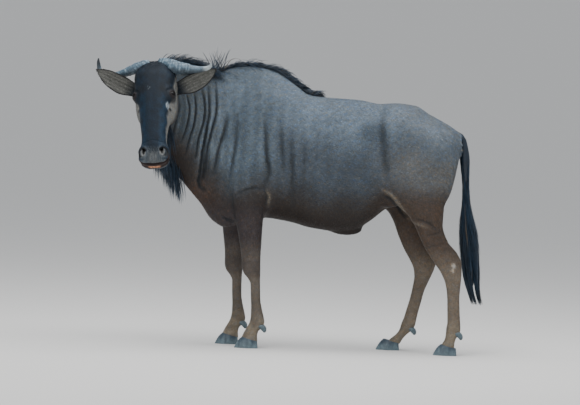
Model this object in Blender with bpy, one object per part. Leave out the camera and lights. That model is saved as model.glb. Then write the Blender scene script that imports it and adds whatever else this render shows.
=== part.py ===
"""A blue wildebeest bull at life size, standing square on and looking to its left.

Metres, +Z up. The body lies along X with the head toward -X, and the animal's left side faces -Y.
The flesh is one smooth field, negative inside, that is turned into a mesh and cut into named pieces."""

import math
import random

import bmesh
import bpy
import numpy as np
from mathutils import Matrix, Vector

for item in list(bpy.data.objects):
    bpy.data.objects.remove(item)

# Driving dimensions
GAP = 0.0003
SEAT_GAP = 0.0005
SHIFT = (-0.003, 0.159, 0.0)
BODY_STEP = 0.0115
BODY_BOX = ((-0.86, -0.46, 0.02), (0.90, 0.30, 1.46))
HEAD_STEP = 0.005
HEAD_BOX = ((-0.86, -0.62, 0.78), (-0.48, -0.14, 1.46))
BODY_FACES = 6000
HEAD_FACES = 2500
HAIR_CORE = 0.45

# Reach of the blends: legs into the trunk, head into the neck, and hair into the flesh
LEG_BLEND = 0.045
HEAD_BLEND = 0.035
HAIR_BLEND = 0.015

# Plan curve of the spine: straight to the withers, then an arc to the left, then straight to the poll
BEND_START = 0.24
BEND_RADIUS = 0.45
BEND_TURN = math.radians(60)
REAR_END = -0.845
FRONT_END = 0.77

# Stations of the trunk and neck, by distance forward along the spine
BACK_LINE = (
    (-0.84, 1.085), (-0.785, 1.122), (-0.685, 1.174), (-0.610, 1.214), (-0.54, 1.218), (-0.44, 1.216),
    (-0.34, 1.231), (-0.14, 1.240), (-0.09, 1.249), (-0.04, 1.281), (0.06, 1.348), (0.11, 1.366),
    (0.20, 1.378), (0.27, 1.373), (0.37, 1.343), (0.46, 1.347), (0.56, 1.360), (0.66, 1.365), (0.80, 1.350),
)
BELLY_LINE = (
    (-0.84, 0.96), (-0.70, 0.83), (-0.60, 0.765), (-0.48, 0.69), (-0.41, 0.632), (-0.33, 0.585),
    (-0.25, 0.577), (-0.12, 0.590), (-0.02, 0.614), (0.10, 0.629), (0.22, 0.600), (0.30, 0.582),
    (0.36, 0.620), (0.44, 0.705), (0.54, 0.805), (0.62, 0.88), (0.70, 0.96), (0.80, 1.06),
)
HALF_WIDTH = (
    (-0.84, 0.050), (-0.78, 0.092), (-0.68, 0.140), (-0.56, 0.168), (-0.44, 0.175), (-0.30, 0.192),
    (-0.15, 0.197), (0.0, 0.186), (0.12, 0.166), (0.24, 0.145), (0.36, 0.115), (0.48, 0.094),
    (0.60, 0.084), (0.80, 0.076),
)
WIDEST_AT = (
    (-0.84, 1.01), (-0.60, 0.99), (-0.40, 0.89), (-0.15, 0.84), (0.10, 0.86), (0.30, 0.91), (0.50, 1.05),
    (0.70, 1.17), (0.80, 1.20),
)
UPPER_ROUND = (
    (-0.84, 2.0), (-0.50, 1.9), (-0.15, 1.95), (0.05, 1.6), (0.25, 1.5), (0.45, 1.6), (0.80, 1.8),
)
LOWER_ROUND = ((-0.84, 2.0), (-0.30, 2.1), (0.0, 2.1), (0.25, 1.9), (0.50, 1.7), (0.80, 1.8))

# Muscles and bones that show, once for each side: centre, half sizes, lean in degrees, blend
MUSCLES = (
    ((-0.200, 0.088, 1.080), (0.095, 0.056, 0.190), 27, 0.07),
    ((-0.320, 0.095, 0.880), (0.080, 0.060, 0.095), 10, 0.06),
    ((-0.145, 0.110, 0.900), (0.100, 0.062, 0.135), -25, 0.06),
    ((-0.108, 0.126, 0.765), (0.034, 0.034, 0.050), 0, 0.03),
    ((-0.300, 0.045, 0.680), (0.085, 0.060, 0.085), 35, 0.05),
    ((0.425, 0.140, 1.100), (0.050, 0.028, 0.036), 0, 0.06),
    ((0.560, 0.085, 1.050), (0.160, 0.078, 0.100), 65, 0.08),
    ((0.670, 0.098, 0.920), (0.120, 0.078, 0.180), 12, 0.08),
    ((0.768, 0.068, 0.920), (0.056, 0.058, 0.160), 4, 0.05),
    ((0.540, 0.118, 0.815), (0.075, 0.058, 0.115), 38, 0.06),
)
FLANK_HOLLOW = ((0.395, 0.235, 1.010), (0.060, 0.045, 0.110), 10, 0.07)
SHEATH = ((0.300, 0.0, 0.590), (0.070, 0.026, 0.028), 0, 0.03)

# Left legs in level slices: height, front, back, half width and distance from the middle
FORE_LEG = (
    (0.030, -0.202, -0.114, 0.036, 0.107), (0.060, -0.193, -0.117, 0.033, 0.107),
    (0.080, -0.184, -0.113, 0.030, 0.107), (0.105, -0.170, -0.091, 0.032, 0.107),
    (0.130, -0.159, -0.084, 0.034, 0.107), (0.160, -0.155, -0.090, 0.031, 0.108),
    (0.190, -0.155, -0.098, 0.028, 0.108), (0.240, -0.158, -0.108, 0.0255, 0.109),
    (0.315, -0.163, -0.112, 0.029, 0.111), (0.340, -0.176, -0.113, 0.034, 0.112),
    (0.365, -0.197, -0.113, 0.039, 0.113), (0.395, -0.207, -0.114, 0.042, 0.113),
    (0.440, -0.211, -0.115, 0.040, 0.114), (0.520, -0.226, -0.112, 0.048, 0.116),
    (0.620, -0.249, -0.108, 0.058, 0.118), (0.700, -0.268, -0.098, 0.064, 0.120),
    (0.780, -0.295, -0.085, 0.060, 0.115), (0.900, -0.310, -0.100, 0.030, 0.090),
)
HIND_LEG = (
    (0.030, 0.772, 0.846, 0.034, 0.107), (0.060, 0.786, 0.848, 0.032, 0.107),
    (0.080, 0.796, 0.853, 0.029, 0.107), (0.105, 0.800, 0.868, 0.032, 0.107),
    (0.130, 0.801, 0.874, 0.034, 0.107), (0.160, 0.805, 0.872, 0.031, 0.108),
    (0.215, 0.803, 0.867, 0.027, 0.109), (0.290, 0.799, 0.863, 0.026, 0.110),
    (0.350, 0.788, 0.866, 0.031, 0.112), (0.400, 0.766, 0.868, 0.037, 0.114),
    (0.450, 0.730, 0.867, 0.036, 0.116), (0.500, 0.693, 0.845, 0.036, 0.118),
    (0.560, 0.658, 0.795, 0.044, 0.120), (0.640, 0.618, 0.769, 0.056, 0.122),
    (0.720, 0.555, 0.772, 0.066, 0.118), (0.800, 0.480, 0.795, 0.066, 0.112),
    (0.940, 0.490, 0.800, 0.030, 0.090),
)
FORE_STEP = (
    (0.0, -0.097), (0.280, -0.094), (0.450, -0.084), (0.600, -0.074), (0.950, -0.020),
)
HIND_STEP = (
    (0.0, -0.275), (0.050, -0.252), (0.100, -0.223), (0.150, -0.211), (0.200, -0.196),
    (0.250, -0.180), (0.300, -0.166), (0.450, -0.116), (0.700, -0.088), (0.950, -0.015),
)

# Head: place of the poll, turn of the face, and stations by distance down the face
POLL = (-0.667, -0.300, 1.389)
FACE_TURN = math.radians(11)
FACE_PITCH = math.radians(22)
FACE_ROLL = math.radians(6.5)
FACE_LINE = (
    (-0.02, -0.030), (0.03, 0.016), (0.09, 0.038), (0.18, 0.044), (0.30, 0.037), (0.40, 0.028),
    (0.47, 0.014), (0.51, -0.004), (0.545, -0.040),
)
JAW_LINE = (
    (-0.02, -0.110), (0.08, -0.150), (0.20, -0.172), (0.27, -0.150), (0.33, -0.112), (0.42, -0.086),
    (0.50, -0.084), (0.545, -0.070),
)
FACE_HALF = (
    (-0.02, 0.060), (0.03, 0.088), (0.08, 0.103), (0.14, 0.099), (0.19, 0.090), (0.25, 0.081),
    (0.32, 0.071), (0.40, 0.062), (0.45, 0.065), (0.49, 0.070), (0.52, 0.066), (0.545, 0.044),
)
FACE_LENGTH = 0.540
ORBIT = (0.074, -0.010, 0.179)
CHEEK = (0.068, -0.095, 0.205)
NOSE_WING = (0.047, -0.008, 0.478)
EAR_BASE = (0.060, -0.080, 0.116)
NOSTRIL = (0.046, 0.006, 0.476)
NOSTRIL_HOLE = (NOSTRIL, (0.010, 0.020, 0.018), 0.008)
EYE = (0.0845, -0.0045, 0.181)
EYE_AHEAD = (0.87, 0.49, -0.05)
EYE_RADIUS = 0.0205
EAR_ROOT = (0.078, -0.088, 0.124)
EAR_TIPS = {"left": (0.296, -0.050, 0.047), "right": (0.278, 0.015, 0.034)}
EAR_HALF = 0.044
EAR_SAG = 0.015
EAR_THICK = 0.006
EAR_BEND = 0.002
EAR_FACES = (0.0, 1.0, 0.50)
EAR_ROWS = 9
EAR_COLUMNS = 8
EAR_WIDE = ((0.0, 0.55), (0.18, 0.72), (0.45, 1.0), (0.68, 0.90), (0.86, 0.55), (1.0, 0.10))
EAR_FOLD = ((0.0, 110), (0.25, 66), (0.55, 44), (1.0, 26))
LID_TILT = 14
LID_THICK = 0.0036
LID_REACH = EYE_RADIUS * 1.05
LID_YAW = math.radians(66)
LID_RISES = (-34, 26)
LID_STEPS = 8
MOUTH_THICK = 0.004
MOUTH_HALF = 0.058
MOUTH_LENGTH = 0.088
MOUTH_INSETS = (-0.006, 0.010)
MOUTH_RING = 22
MOUTH_SLOPE = 0.36
MOUTH_OUT = -0.016
MOUTH_CORNER = 0.440

# Forms of the head: centre, half sizes, blend
HEAD_FORMS = (
    (ORBIT, (0.027, 0.034, 0.036), 0.025),
    (CHEEK, (0.036, 0.062, 0.090), 0.03),
    (NOSE_WING, (0.024, 0.028, 0.042), 0.02),
    (EAR_BASE, (0.034, 0.036, 0.038), 0.03),
)

# Horns: middle line as left, out and down from the poll, and the half thickness
HORNS = {
    "left": (
        (0.022, -0.030, -0.005, 0.019), (0.057, -0.026, 0.011, 0.028), (0.086, -0.024, 0.028, 0.035),
        (0.114, -0.024, 0.037, 0.032), (0.151, -0.026, 0.041, 0.026), (0.182, -0.028, 0.047, 0.020),
        (0.212, -0.028, 0.050, 0.016), (0.240, -0.020, 0.052, 0.012), (0.265, -0.004, 0.055, 0.010),
        (0.281, 0.016, 0.054, 0.007), (0.287, 0.036, 0.050, 0.003),
    ),
    "right": (
        (-0.025, -0.030, 0.002, 0.019), (-0.049, -0.028, 0.009, 0.024), (-0.079, -0.030, 0.018, 0.026),
        (-0.115, -0.036, 0.028, 0.024), (-0.157, -0.050, 0.036, 0.020), (-0.201, -0.072, 0.038, 0.017),
        (-0.244, -0.092, 0.031, 0.014), (-0.276, -0.100, 0.014, 0.012), (-0.288, -0.092, -0.014, 0.010),
        (-0.289, -0.076, -0.039, 0.007), (-0.286, -0.062, -0.055, 0.003),
    ),
}
HORN_FLAT = 1.10

# Tail: middle line by height as (x, half thickness of the hair)
TAIL_LINE = (
    (0.237, 0.956), (0.32, 0.929), (0.42, 0.914), (0.57, 0.898), (0.71, 0.882), (0.84, 0.873),
    (0.96, 0.864), (1.04, 0.853), (1.10, 0.826),
)
TAIL_HALF = (
    (0.237, 0.003), (0.32, 0.032), (0.42, 0.048), (0.57, 0.053), (0.68, 0.036), (0.76, 0.020),
    (0.84, 0.018), (0.96, 0.027), (1.04, 0.020), (1.10, 0.017),
)
TAIL_TOP = 1.075
TAIL_TOP_AT = 0.800
TAIL_CORE_END = 0.330
TAIL_RINGS = 13
GOLDEN_ANGLE = math.radians(137.5)

# Feet
HOOF_LENGTH = 0.116
HOOF_HALF = 0.018
CORONET_FRONT = 0.054
CORONET_BACK = 0.034
CORONET_SETBACK = 0.038
CLAW_SPREAD = 0.0195
FOOT_OUT = 0.107
HOOF_SIDES = 12
HOOF_LEVELS = ((0.0, 0.0, 1.0), (0.35, 0.009, 1.04), (0.72, 0.022, 1.02), (1.0, CORONET_SETBACK, 0.95))
HEEL_NARROW = 0.28
HEEL_INWARD = 0.004
DEWCLAW_HEIGHT = 0.102
DEWCLAW_ASIDE = 0.018
DEWCLAW_PATH = ((-0.020, 0.010), (0.002, 0.004), (0.012, -0.010), (0.014, -0.024))
DEWCLAW_HALF = ((0.013, 0.014, 0.013, 0.008), (0.011, 0.012, 0.010, 0.005))

# Mane and beard: how far the hair stands from the skin, by distance along the spine, and the core inside it
MANE_RISE = ((-0.20, -0.025), (-0.12, 0.004), (0.0, 0.012), (0.20, 0.014), (0.36, 0.020), (0.42, 0.045),
             (0.60, 0.050), (0.68, 0.040), (0.76, -0.025))
BEARD_DROP = ((0.50, -0.025), (0.54, 0.060), (0.58, 0.105), (0.64, 0.120), (0.70, 0.155), (0.76, 0.165),
              (0.82, 0.130), (0.87, -0.025))
HAIR_SPAN = (-0.20, 0.86)
MANE_RIDGE = (-0.004, 0.020, 0.030)
BEARD_KEEL = (0.022, 0.030)

# Locks of hair
SEED = 7
LOCK_SUNK = 0.014
LOCK_STEPS = 12
LOCK_LIFT = 0.010
LOCK_TURN = 10
LOCK_SHAPE = ((0.0, 0.75), (0.25, 1.0), (0.5, 0.92), (0.75, 0.66), (1.0, 0.30))
MANE_SPAN = (-0.125, 0.715)
MANE_LOCKS = 27
MANE_LENGTH = ((-0.125, 0.075), (0.05, 0.115), (0.30, 0.160), (0.45, 0.205), (0.72, 0.190))
MANE_RINGS = 5
MANE_WEIGHT = 3.4
MANE_ROW = 0.008
MANE_UP = (0.20, 13)
MANE_OVER = (0.28, 0.48)
MANE_OVER_LEFT = -0.30
MANE_BACK = (0.08, 0.20)
MANE_HALF = (0.0230, 0.0050)
WISP_HALF = (0.006, 0.003)
MANE_WISPS = ((0.352, 0.105), (0.372, 0.118), (0.392, 0.085))
THROAT_SPAN = (0.600, 0.770)
THROAT_LOCKS = 9
JAW_SPAN = (0.270, 0.400)
JAW_LOCKS = 5
BEARD_LENGTH = 0.150
BEARD_RINGS = 4
BEARD_HALF = (0.0205, 0.0052)
BEARD_WEIGHT = 0.6
BEARD_WAY = (0.30, 0.15, 0.12)
TAIL_HAIR_TOP = 0.800
TAIL_LOCKS = 13
TAIL_LENGTH = 0.240
TAIL_LOCK_RINGS = 4
TAIL_LOCK_HALF = (0.0240, 0.0056)


# Smooth curves and blends
def curve(pairs, at):
    """A smooth curve through the pairs that never overshoots them."""
    keys, values = np.array(pairs, float).T
    gaps = np.diff(keys)
    slopes = np.diff(values) / gaps
    bends = np.concatenate([slopes[:1], np.zeros(len(keys) - 2), slopes[-1:]])
    for i in range(1, len(keys) - 1):
        if slopes[i - 1] * slopes[i] > 0:
            bends[i] = 2 / (1 / slopes[i - 1] + 1 / slopes[i])
    at = np.clip(at, keys[0], keys[-1])
    i = np.clip(np.searchsorted(keys, at, side="right") - 1, 0, len(gaps) - 1)
    t = (at - keys[i]) / gaps[i]
    rise = values[i] * (1 + 2 * t) * (1 - t) ** 2 + values[i + 1] * t * t * (3 - 2 * t)
    return rise + gaps[i] * (bends[i] * t * (1 - t) ** 2 + bends[i + 1] * t * t * (t - 1))


def join(a, b, reach):
    """Smooth union of two fields."""
    near = np.maximum(reach - np.abs(a - b), 0) / reach
    return np.minimum(a, b) - near * near * reach / 4


def carve(a, b, reach):
    """The first field with the second taken out of it."""
    return -join(-a, b, reach)


def ellipsoid(points, centre, radii, lean=0.0):
    """Distance to an ellipsoid that leans in the side view: its top goes toward +X."""
    away = points - np.array(centre)
    c = math.cos(math.radians(lean))
    s = math.sin(math.radians(lean))
    away = np.stack([away[:, 0] * c - away[:, 2] * s, away[:, 1], away[:, 0] * s + away[:, 2] * c], 1)
    near = away / np.array(radii)
    size = np.sqrt((near * near).sum(1))
    slope = np.sqrt((near * near / np.array(radii) ** 2).sum(1))
    return size * (size - 1) / np.maximum(slope, 1e-9)


def rounded(across, half_across, up, half_up, power):
    """Distance to a superellipse."""
    a = np.abs(across) / half_across + 1e-9
    b = np.abs(up) / half_up + 1e-9
    size = (a**power + b**power) ** (1 / power)
    slope = np.hypot((a / size) ** (power - 1) / half_across, (b / size) ** (power - 1) / half_up)
    return (size - 1) / slope


# Trunk and neck
ARC_END = BEND_START + BEND_RADIUS * BEND_TURN
ARC_END_AT = np.array([-BEND_START - BEND_RADIUS * math.sin(BEND_TURN),
                       -BEND_RADIUS + BEND_RADIUS * math.cos(BEND_TURN)])
NECK_AHEAD = np.array([-math.cos(BEND_TURN), -math.sin(BEND_TURN)])
NECK_LEFT = np.array([math.sin(BEND_TURN), -math.cos(BEND_TURN)])


def on_spine(points):
    """Distance of each point forward along the spine's plan curve, and to the animal's left of it."""
    ahead = -points[:, 0]
    left = -points[:, 1]
    across = points[:, 1] + BEND_RADIUS
    turned = np.arctan2(ahead - BEND_START, across)
    in_arc = (ahead > BEND_START) & (turned < BEND_TURN) & (across > 0)
    in_neck = (ahead > BEND_START) & ~in_arc
    beyond = points[:, :2] - ARC_END_AT
    ahead = np.where(in_arc, BEND_START + BEND_RADIUS * turned, ahead)
    left = np.where(in_arc, BEND_RADIUS - np.hypot(points[:, 0] + BEND_START, across), left)
    ahead = np.where(in_neck, ARC_END + beyond @ NECK_AHEAD, ahead)
    left = np.where(in_neck, beyond @ NECK_LEFT, left)
    return ahead, left


def spine_point(ahead, left, height):
    """Place of a point given by distance along the spine, to the left of it, and height."""
    turned = min(max(ahead - BEND_START, 0) / BEND_RADIUS, BEND_TURN)
    base = np.array([-min(ahead, BEND_START) - BEND_RADIUS * math.sin(turned),
                     BEND_RADIUS * math.cos(turned) - BEND_RADIUS])
    beyond = max(ahead - ARC_END, 0)
    base = base + beyond * NECK_AHEAD + left * np.array([math.sin(turned), -math.cos(turned)])
    return np.array([base[0], base[1], height])


def trunk(points):
    ahead, left = on_spine(points)
    top = curve(BACK_LINE, ahead)
    low = curve(BELLY_LINE, ahead)
    middle = curve(WIDEST_AT, ahead)
    half = curve(HALF_WIDTH, ahead)
    up = points[:, 2] - middle
    above = up > 0
    tall = np.where(above, top - middle, middle - low)
    power = np.where(above, curve(UPPER_ROUND, ahead), curve(LOWER_ROUND, ahead))
    shape = rounded(left, half, up, tall, power)
    shape = np.maximum(shape, REAR_END - ahead)
    return np.maximum(shape, ahead - FRONT_END)


def crest_hair(points, reach):
    """The mane as a low ridge on the crest, and the beard as a keel under the neck."""
    ahead, left = on_spine(points)
    top = curve(BACK_LINE, ahead)
    low = curve(BELLY_LINE, ahead)
    rise = curve(MANE_RISE, ahead) * reach
    drop = curve(BEARD_DROP, ahead) * reach
    middle, half, sunk = MANE_RIDGE
    mane = rounded(left - middle, half, points[:, 2] - top + sunk, rise + sunk, 2.0)
    half, sunk = BEARD_KEEL
    beard = rounded(left, half, points[:, 2] - low - sunk, drop + sunk, 2.0)
    return np.maximum(np.minimum(mane, beard), np.maximum(HAIR_SPAN[0] - ahead, ahead - HAIR_SPAN[1]))


def leg(points, slices, side, stride):
    """One leg as level slices. A stride moves each slice along the body."""
    height = np.clip(points[:, 2], slices[0][0], slices[-1][0])
    table = np.array(slices)
    front = curve(table[:, (0, 1)], height)
    back = curve(table[:, (0, 2)], height)
    half = curve(table[:, (0, 3)], height)
    out = curve(table[:, (0, 4)], height)
    step = curve(stride, height) if stride else 0.0
    along = points[:, 0] - (front + back) / 2 - step
    shape = rounded(along, (back - front) / 2, points[:, 1] - side * out, half, 2.3)
    shape = np.maximum(shape, slices[0][0] - points[:, 2])
    return np.maximum(shape, points[:, 2] - slices[-1][0])


def body(points):
    """Trunk, neck and legs, without the head."""
    shape = trunk(points)
    mirrored = points * np.array([1.0, -1.0, 1.0])
    for centre, radii, lean, reach in MUSCLES:
        for place in (points, mirrored):
            shape = join(shape, ellipsoid(place, centre, radii, lean), reach)
    centre, radii, lean, reach = FLANK_HOLLOW
    for place in (points, mirrored):
        shape = carve(shape, ellipsoid(place, centre, radii, lean), reach)
    for slices, stride in ((FORE_LEG, FORE_STEP), (HIND_LEG, HIND_STEP)):
        shape = join(shape, leg(points, slices, -1, None), LEG_BLEND)
        shape = join(shape, leg(points, slices, 1, stride), LEG_BLEND)
    centre, radii, lean, reach = SHEATH
    return join(shape, ellipsoid(points, centre, radii, lean), reach)


# Head
def face_axes():
    """Unit vectors to the animal's left, out of the face, and down the face."""
    forward = np.array([-math.sin(FACE_TURN), -math.cos(FACE_TURN), 0.0])
    left = np.array([math.cos(FACE_TURN), -math.sin(FACE_TURN), 0.0])
    up = np.array([0.0, 0.0, 1.0])
    down = math.sin(FACE_PITCH) * forward - math.cos(FACE_PITCH) * up
    out = math.cos(FACE_PITCH) * forward + math.sin(FACE_PITCH) * up
    rolled = math.cos(FACE_ROLL) * left - math.sin(FACE_ROLL) * down
    down = math.cos(FACE_ROLL) * down + math.sin(FACE_ROLL) * left
    return np.stack([rolled, out, down])


AXES = face_axes()


def from_head(place):
    """Model place of a point given as left, out and down from the poll."""
    return np.array(POLL) + np.asarray(place, float) @ AXES


def to_head(points):
    return (points - np.array(POLL)) @ AXES.T


def head(points):
    local = to_head(points)
    left, out, down = local.T
    line = curve(FACE_LINE, down)
    jaw = curve(JAW_LINE, down)
    half = curve(FACE_HALF, down)
    middle = line * 0.55 + jaw * 0.45
    above = out > middle
    tall = np.where(above, line - middle, middle - jaw)
    shape = rounded(left, half, out - middle, tall, np.where(above, 2.5, 2.1))
    shape = -join(-shape, down + 0.015, 0.03)
    shape = -join(-shape, -(down - FACE_LENGTH), 0.03)
    mirrored = local * np.array([-1.0, 1.0, 1.0])
    for place in (local, mirrored):
        for centre, radii, reach in HEAD_FORMS:
            shape = join(shape, ellipsoid(place, centre, radii), reach)
        centre, radii, reach = NOSTRIL_HOLE
        shape = carve(shape, ellipsoid(place, centre, radii), reach)
    return shape


def bare(points):
    """The whole animal's flesh without its hair."""
    return join(body(points), head(points), HEAD_BLEND)


def flesh(points):
    """The flesh with the core of the mane and the beard."""
    return join(bare(points), crest_hair(points, HAIR_CORE), HAIR_BLEND)


# From a field to a mesh
def in_parts(field, points, size=150000):
    return np.concatenate([field(points[i : i + size]) for i in range(0, len(points), size)])


def untangle(values, step):
    """Keeps sheets apart: of two inside points across a grid square, the nearer goes outside."""
    found = True
    while found:
        found = False
        for axis in range(3):
            view = values.swapaxes(2, axis)
            inside = view < 0
            a, b, c, d = inside[:-1, :-1], inside[1:, :-1], inside[1:, 1:], inside[:-1, 1:]
            for x, y, z in np.argwhere((a == c) & (b == d) & (a != b)):
                pair = [(x, y, z), (x + 1, y + 1, z)] if a[x, y, z] else [(x + 1, y, z), (x, y + 1, z)]
                view[max(pair, key=lambda at: view[at])] = step * 0.02
                found = True


def surface(field, low, high, step):
    """Points and four-sided faces of the field's zero surface, one point in each cell it crosses."""
    low = np.array(low)
    blocks = np.ceil((np.array(high) - low) / (8 * step)).astype(int)
    corner = np.stack(np.meshgrid(*map(np.arange, blocks), indexing="ij"), -1)
    middle = in_parts(field, (low + (corner.reshape(-1, 3) * 8 + 4) * step)).reshape(blocks)
    values = np.sign(middle).repeat(8, 0).repeat(8, 1).repeat(8, 2)
    values = np.pad(values, ((0, 1),) * 3, mode="edge")
    wanted = np.zeros(values.shape, bool)
    for x, y, z in np.argwhere(np.abs(middle) < 8 * step * 1.3) * 8:
        wanted[x : x + 9, y : y + 9, z : z + 9] = True
    values[wanted] = in_parts(field, low + np.argwhere(wanted) * step)
    for axis in range(3):
        values.swapaxes(0, axis)[[0, -1]] = step / 2
    untangle(values, step)
    inside = values < 0
    offsets = np.array([(x, y, z) for x in (0, 1) for y in (0, 1) for z in (0, 1)])
    i, j, k = np.array(inside.shape) - 1
    count = sum(inside[x : x + i, y : y + j, z : z + k].astype(int) for x, y, z in offsets)
    crossed = (count > 0) & (count < 8)
    cells = np.argwhere(crossed)
    number = np.full(crossed.shape, -1)
    number[crossed] = np.arange(len(cells))
    around = np.stack([values[tuple((cells + o).T)] for o in offsets], 1)
    total = np.zeros((len(cells), 3))
    hits = np.zeros(len(cells))
    for a in range(8):
        for axis in range(3):
            b = a + (4, 2, 1)[axis]
            if offsets[a][axis]:
                continue
            crossing = (around[:, a] < 0) != (around[:, b] < 0)
            t = np.where(crossing, around[:, a] / np.where(crossing, around[:, a] - around[:, b], 1), 0)
            place = offsets[a] + t[:, None] * (offsets[b] - offsets[a])
            total += place * crossing[:, None]
            hits += crossing
    points = low + (cells + total / hits[:, None]) * step
    faces = []
    for axis in range(3):
        one, two = (axis + 1) % 3, (axis + 2) % 3
        unit = np.eye(3, dtype=int)
        cut = [slice(1, -1)] * 3
        cut[axis] = slice(0, -1)
        here = inside[tuple(cut)]
        cut[axis] = slice(1, None)
        there = inside[tuple(cut)]
        at = np.argwhere(here != there) + unit[one] + unit[two]
        outward = inside[tuple(at.T)]
        ring = [at, at - unit[one], at - unit[one] - unit[two], at - unit[two]]
        quad = np.stack([number[tuple(r.T)] for r in ring], 1)
        faces.append(np.where(outward[:, None], quad, quad[:, ::-1]))
    return points, np.concatenate(faces)


def settled(field, points, step, rounds=3):
    """The points moved onto the field's zero surface, but for those far from it on the box's own sides."""
    small = step * 0.05
    for _ in range(rounds):
        value = in_parts(field, points)
        value = np.where(np.abs(value) < step, value, 0)
        rises = [in_parts(field, points + by) - in_parts(field, points - by) for by in small * np.eye(3)]
        slope = np.stack(rises, 1) / (2 * small)
        move = value[:, None] * slope / np.maximum((slope * slope).sum(1), 0.05)[:, None]
        far = np.linalg.norm(move, axis=1, keepdims=True)
        points = points - move * np.minimum(1, 0.5 * step / np.maximum(far, 1e-12))
    return points


def mesh_object(name, points, faces):
    mesh = bpy.data.meshes.new(name)
    mesh.from_pydata([tuple(p) for p in np.asarray(points, float)], [], [tuple(map(int, f)) for f in faces])
    made = bpy.data.objects.new(name, mesh)
    bpy.context.scene.collection.objects.link(made)
    return made


def apply_modifiers(piece):
    bpy.context.view_layer.update()
    graph = bpy.context.evaluated_depsgraph_get()
    mesh = bpy.data.meshes.new_from_object(piece.evaluated_get(graph))
    piece.modifiers.clear()
    piece.data = mesh


def reduce_to(piece, faces):
    """Fewer triangles, most where the shape bends."""
    mesh = piece.data
    mesh.calc_loop_triangles()
    modifier = piece.modifiers.new("fewer", "DECIMATE")
    modifier.use_collapse_triangulate = True
    modifier.ratio = min(1.0, faces / len(mesh.loop_triangles))
    apply_modifiers(piece)


def boolean(piece, other, operation, solver="EXACT"):
    modifier = piece.modifiers.new(operation, "BOOLEAN")
    modifier.operation = operation
    modifier.solver = solver
    modifier.object = other
    apply_modifiers(piece)


def keep_largest(piece):
    """Removes all but the largest closed surface."""
    work = bmesh.new()
    work.from_mesh(piece.data)
    left = set(work.verts)
    groups = []
    while left:
        group = {left.pop()}
        edge = set(group)
        while edge:
            edge = {e.other_vert(v) for v in edge for e in v.link_edges} & left
            left -= edge
            group |= edge
        groups.append(group)
    groups.sort(key=len, reverse=True)
    for group in groups[1:]:
        bmesh.ops.delete(work, geom=list(group), context="VERTS")
    work.to_mesh(piece.data)
    work.free()


def discard(*pieces):
    for piece in pieces:
        bpy.data.objects.remove(piece)


def half_space(name, at, normal, size=3.0):
    """A large box whose one face passes through a point, with the box on the side the normal points to."""
    work = bmesh.new()
    bmesh.ops.create_cube(work, size=size)
    made = bpy.data.objects.new(name, bpy.data.meshes.new(name))
    turn = Vector(normal).to_track_quat("Z", "Y").to_matrix().to_4x4()
    shift = Matrix.Translation(Vector(at) + Vector(normal).normalized() * size / 2)
    bmesh.ops.transform(work, matrix=shift @ turn, verts=work.verts)
    work.to_mesh(made.data)
    work.free()
    bpy.context.scene.collection.objects.link(made)
    return made


def fuse(piece, shapes):
    """Joins closed shapes to a piece in one union."""
    group = bpy.data.collections.new("shapes")
    for shape in shapes:
        group.objects.link(shape)
    modifier = piece.modifiers.new("fused", "BOOLEAN")
    modifier.operation = "UNION"
    modifier.operand_type = "COLLECTION"
    modifier.collection = group
    modifier.solver = "MANIFOLD"
    apply_modifiers(piece)
    discard(*shapes)
    bpy.data.collections.remove(group)
    keep_largest(piece)


def copy_of(piece, name):
    made = bpy.data.objects.new(name, piece.data.copy())
    bpy.context.scene.collection.objects.link(made)
    return made


def swollen(piece, by):
    """A copy whose every point is moved out along its normal."""
    made = copy_of(piece, piece.name + "_swollen")
    for vertex, normal in zip(made.data.vertices, [v.normal.copy() for v in made.data.vertices]):
        vertex.co += normal * by
    return made


def seat(piece, *bases):
    """Cuts a piece clear of what it sits on."""
    for base in bases:
        grown = swollen(base, SEAT_GAP)
        boolean(piece, grown, "DIFFERENCE")
        discard(grown)
        boolean(piece, base, "DIFFERENCE")
    keep_largest(piece)


def cut_piece(source, name, sides):
    """The part of a mesh that lies on the kept side of each plane, given as point and kept direction."""
    made = copy_of(source, name)
    for at, toward in sides:
        box = half_space("cutter", at, toward)
        boolean(made, box, "INTERSECT")
        discard(box)
    keep_largest(made)
    return made


def tube(name, path, half_a, half_b, aside, sides=8, tip=True, turn=0.0):
    """A closed tube along a path, with an elliptical section and a tip at its end."""
    path = np.asarray(path, float)
    points = []
    for i, at in enumerate(path):
        ahead = path[min(i + 1, len(path) - 1)] - path[max(i - 1, 0)]
        ahead /= np.linalg.norm(ahead)
        across = np.asarray(aside, float) - np.dot(aside, ahead) * ahead
        across /= np.linalg.norm(across)
        other = np.cross(ahead, across)
        for k in range(sides):
            angle = 2 * math.pi * k / sides + turn
            points.append(at + across * half_a[i] * math.cos(angle) + other * half_b[i] * math.sin(angle))
    rings = len(path)
    faces = [tuple(range(sides))[::-1]]
    for i in range(rings - 1):
        for k in range(sides):
            j = (k + 1) % sides
            faces.append((i * sides + k, i * sides + j, (i + 1) * sides + j, (i + 1) * sides + k))
    last = (rings - 1) * sides
    if tip:
        ahead = path[-1] - path[-2]
        points.append(path[-1] + ahead / np.linalg.norm(ahead) * half_a[-1])
        top = len(points) - 1
        faces += [(last + k, last + (k + 1) % sides, top) for k in range(sides)]
    else:
        faces.append(tuple(last + k for k in range(sides)))
    made = mesh_object(name, points, faces)
    triangulate(made)
    return made


def triangulate(piece):
    work = bmesh.new()
    work.from_mesh(piece.data)
    bmesh.ops.triangulate(work, faces=work.faces)
    bmesh.ops.recalc_face_normals(work, faces=work.faces)
    work.to_mesh(piece.data)
    work.free()


def material(name, colour, roughness):
    made = bpy.data.materials.new(name)
    made.use_nodes = True
    shader = made.node_tree.nodes["Principled BSDF"]
    shader.inputs["Base Color"].default_value = (*colour, 1.0)
    shader.inputs["Roughness"].default_value = roughness
    made.diffuse_color = (*colour, 1.0)
    return made


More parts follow.
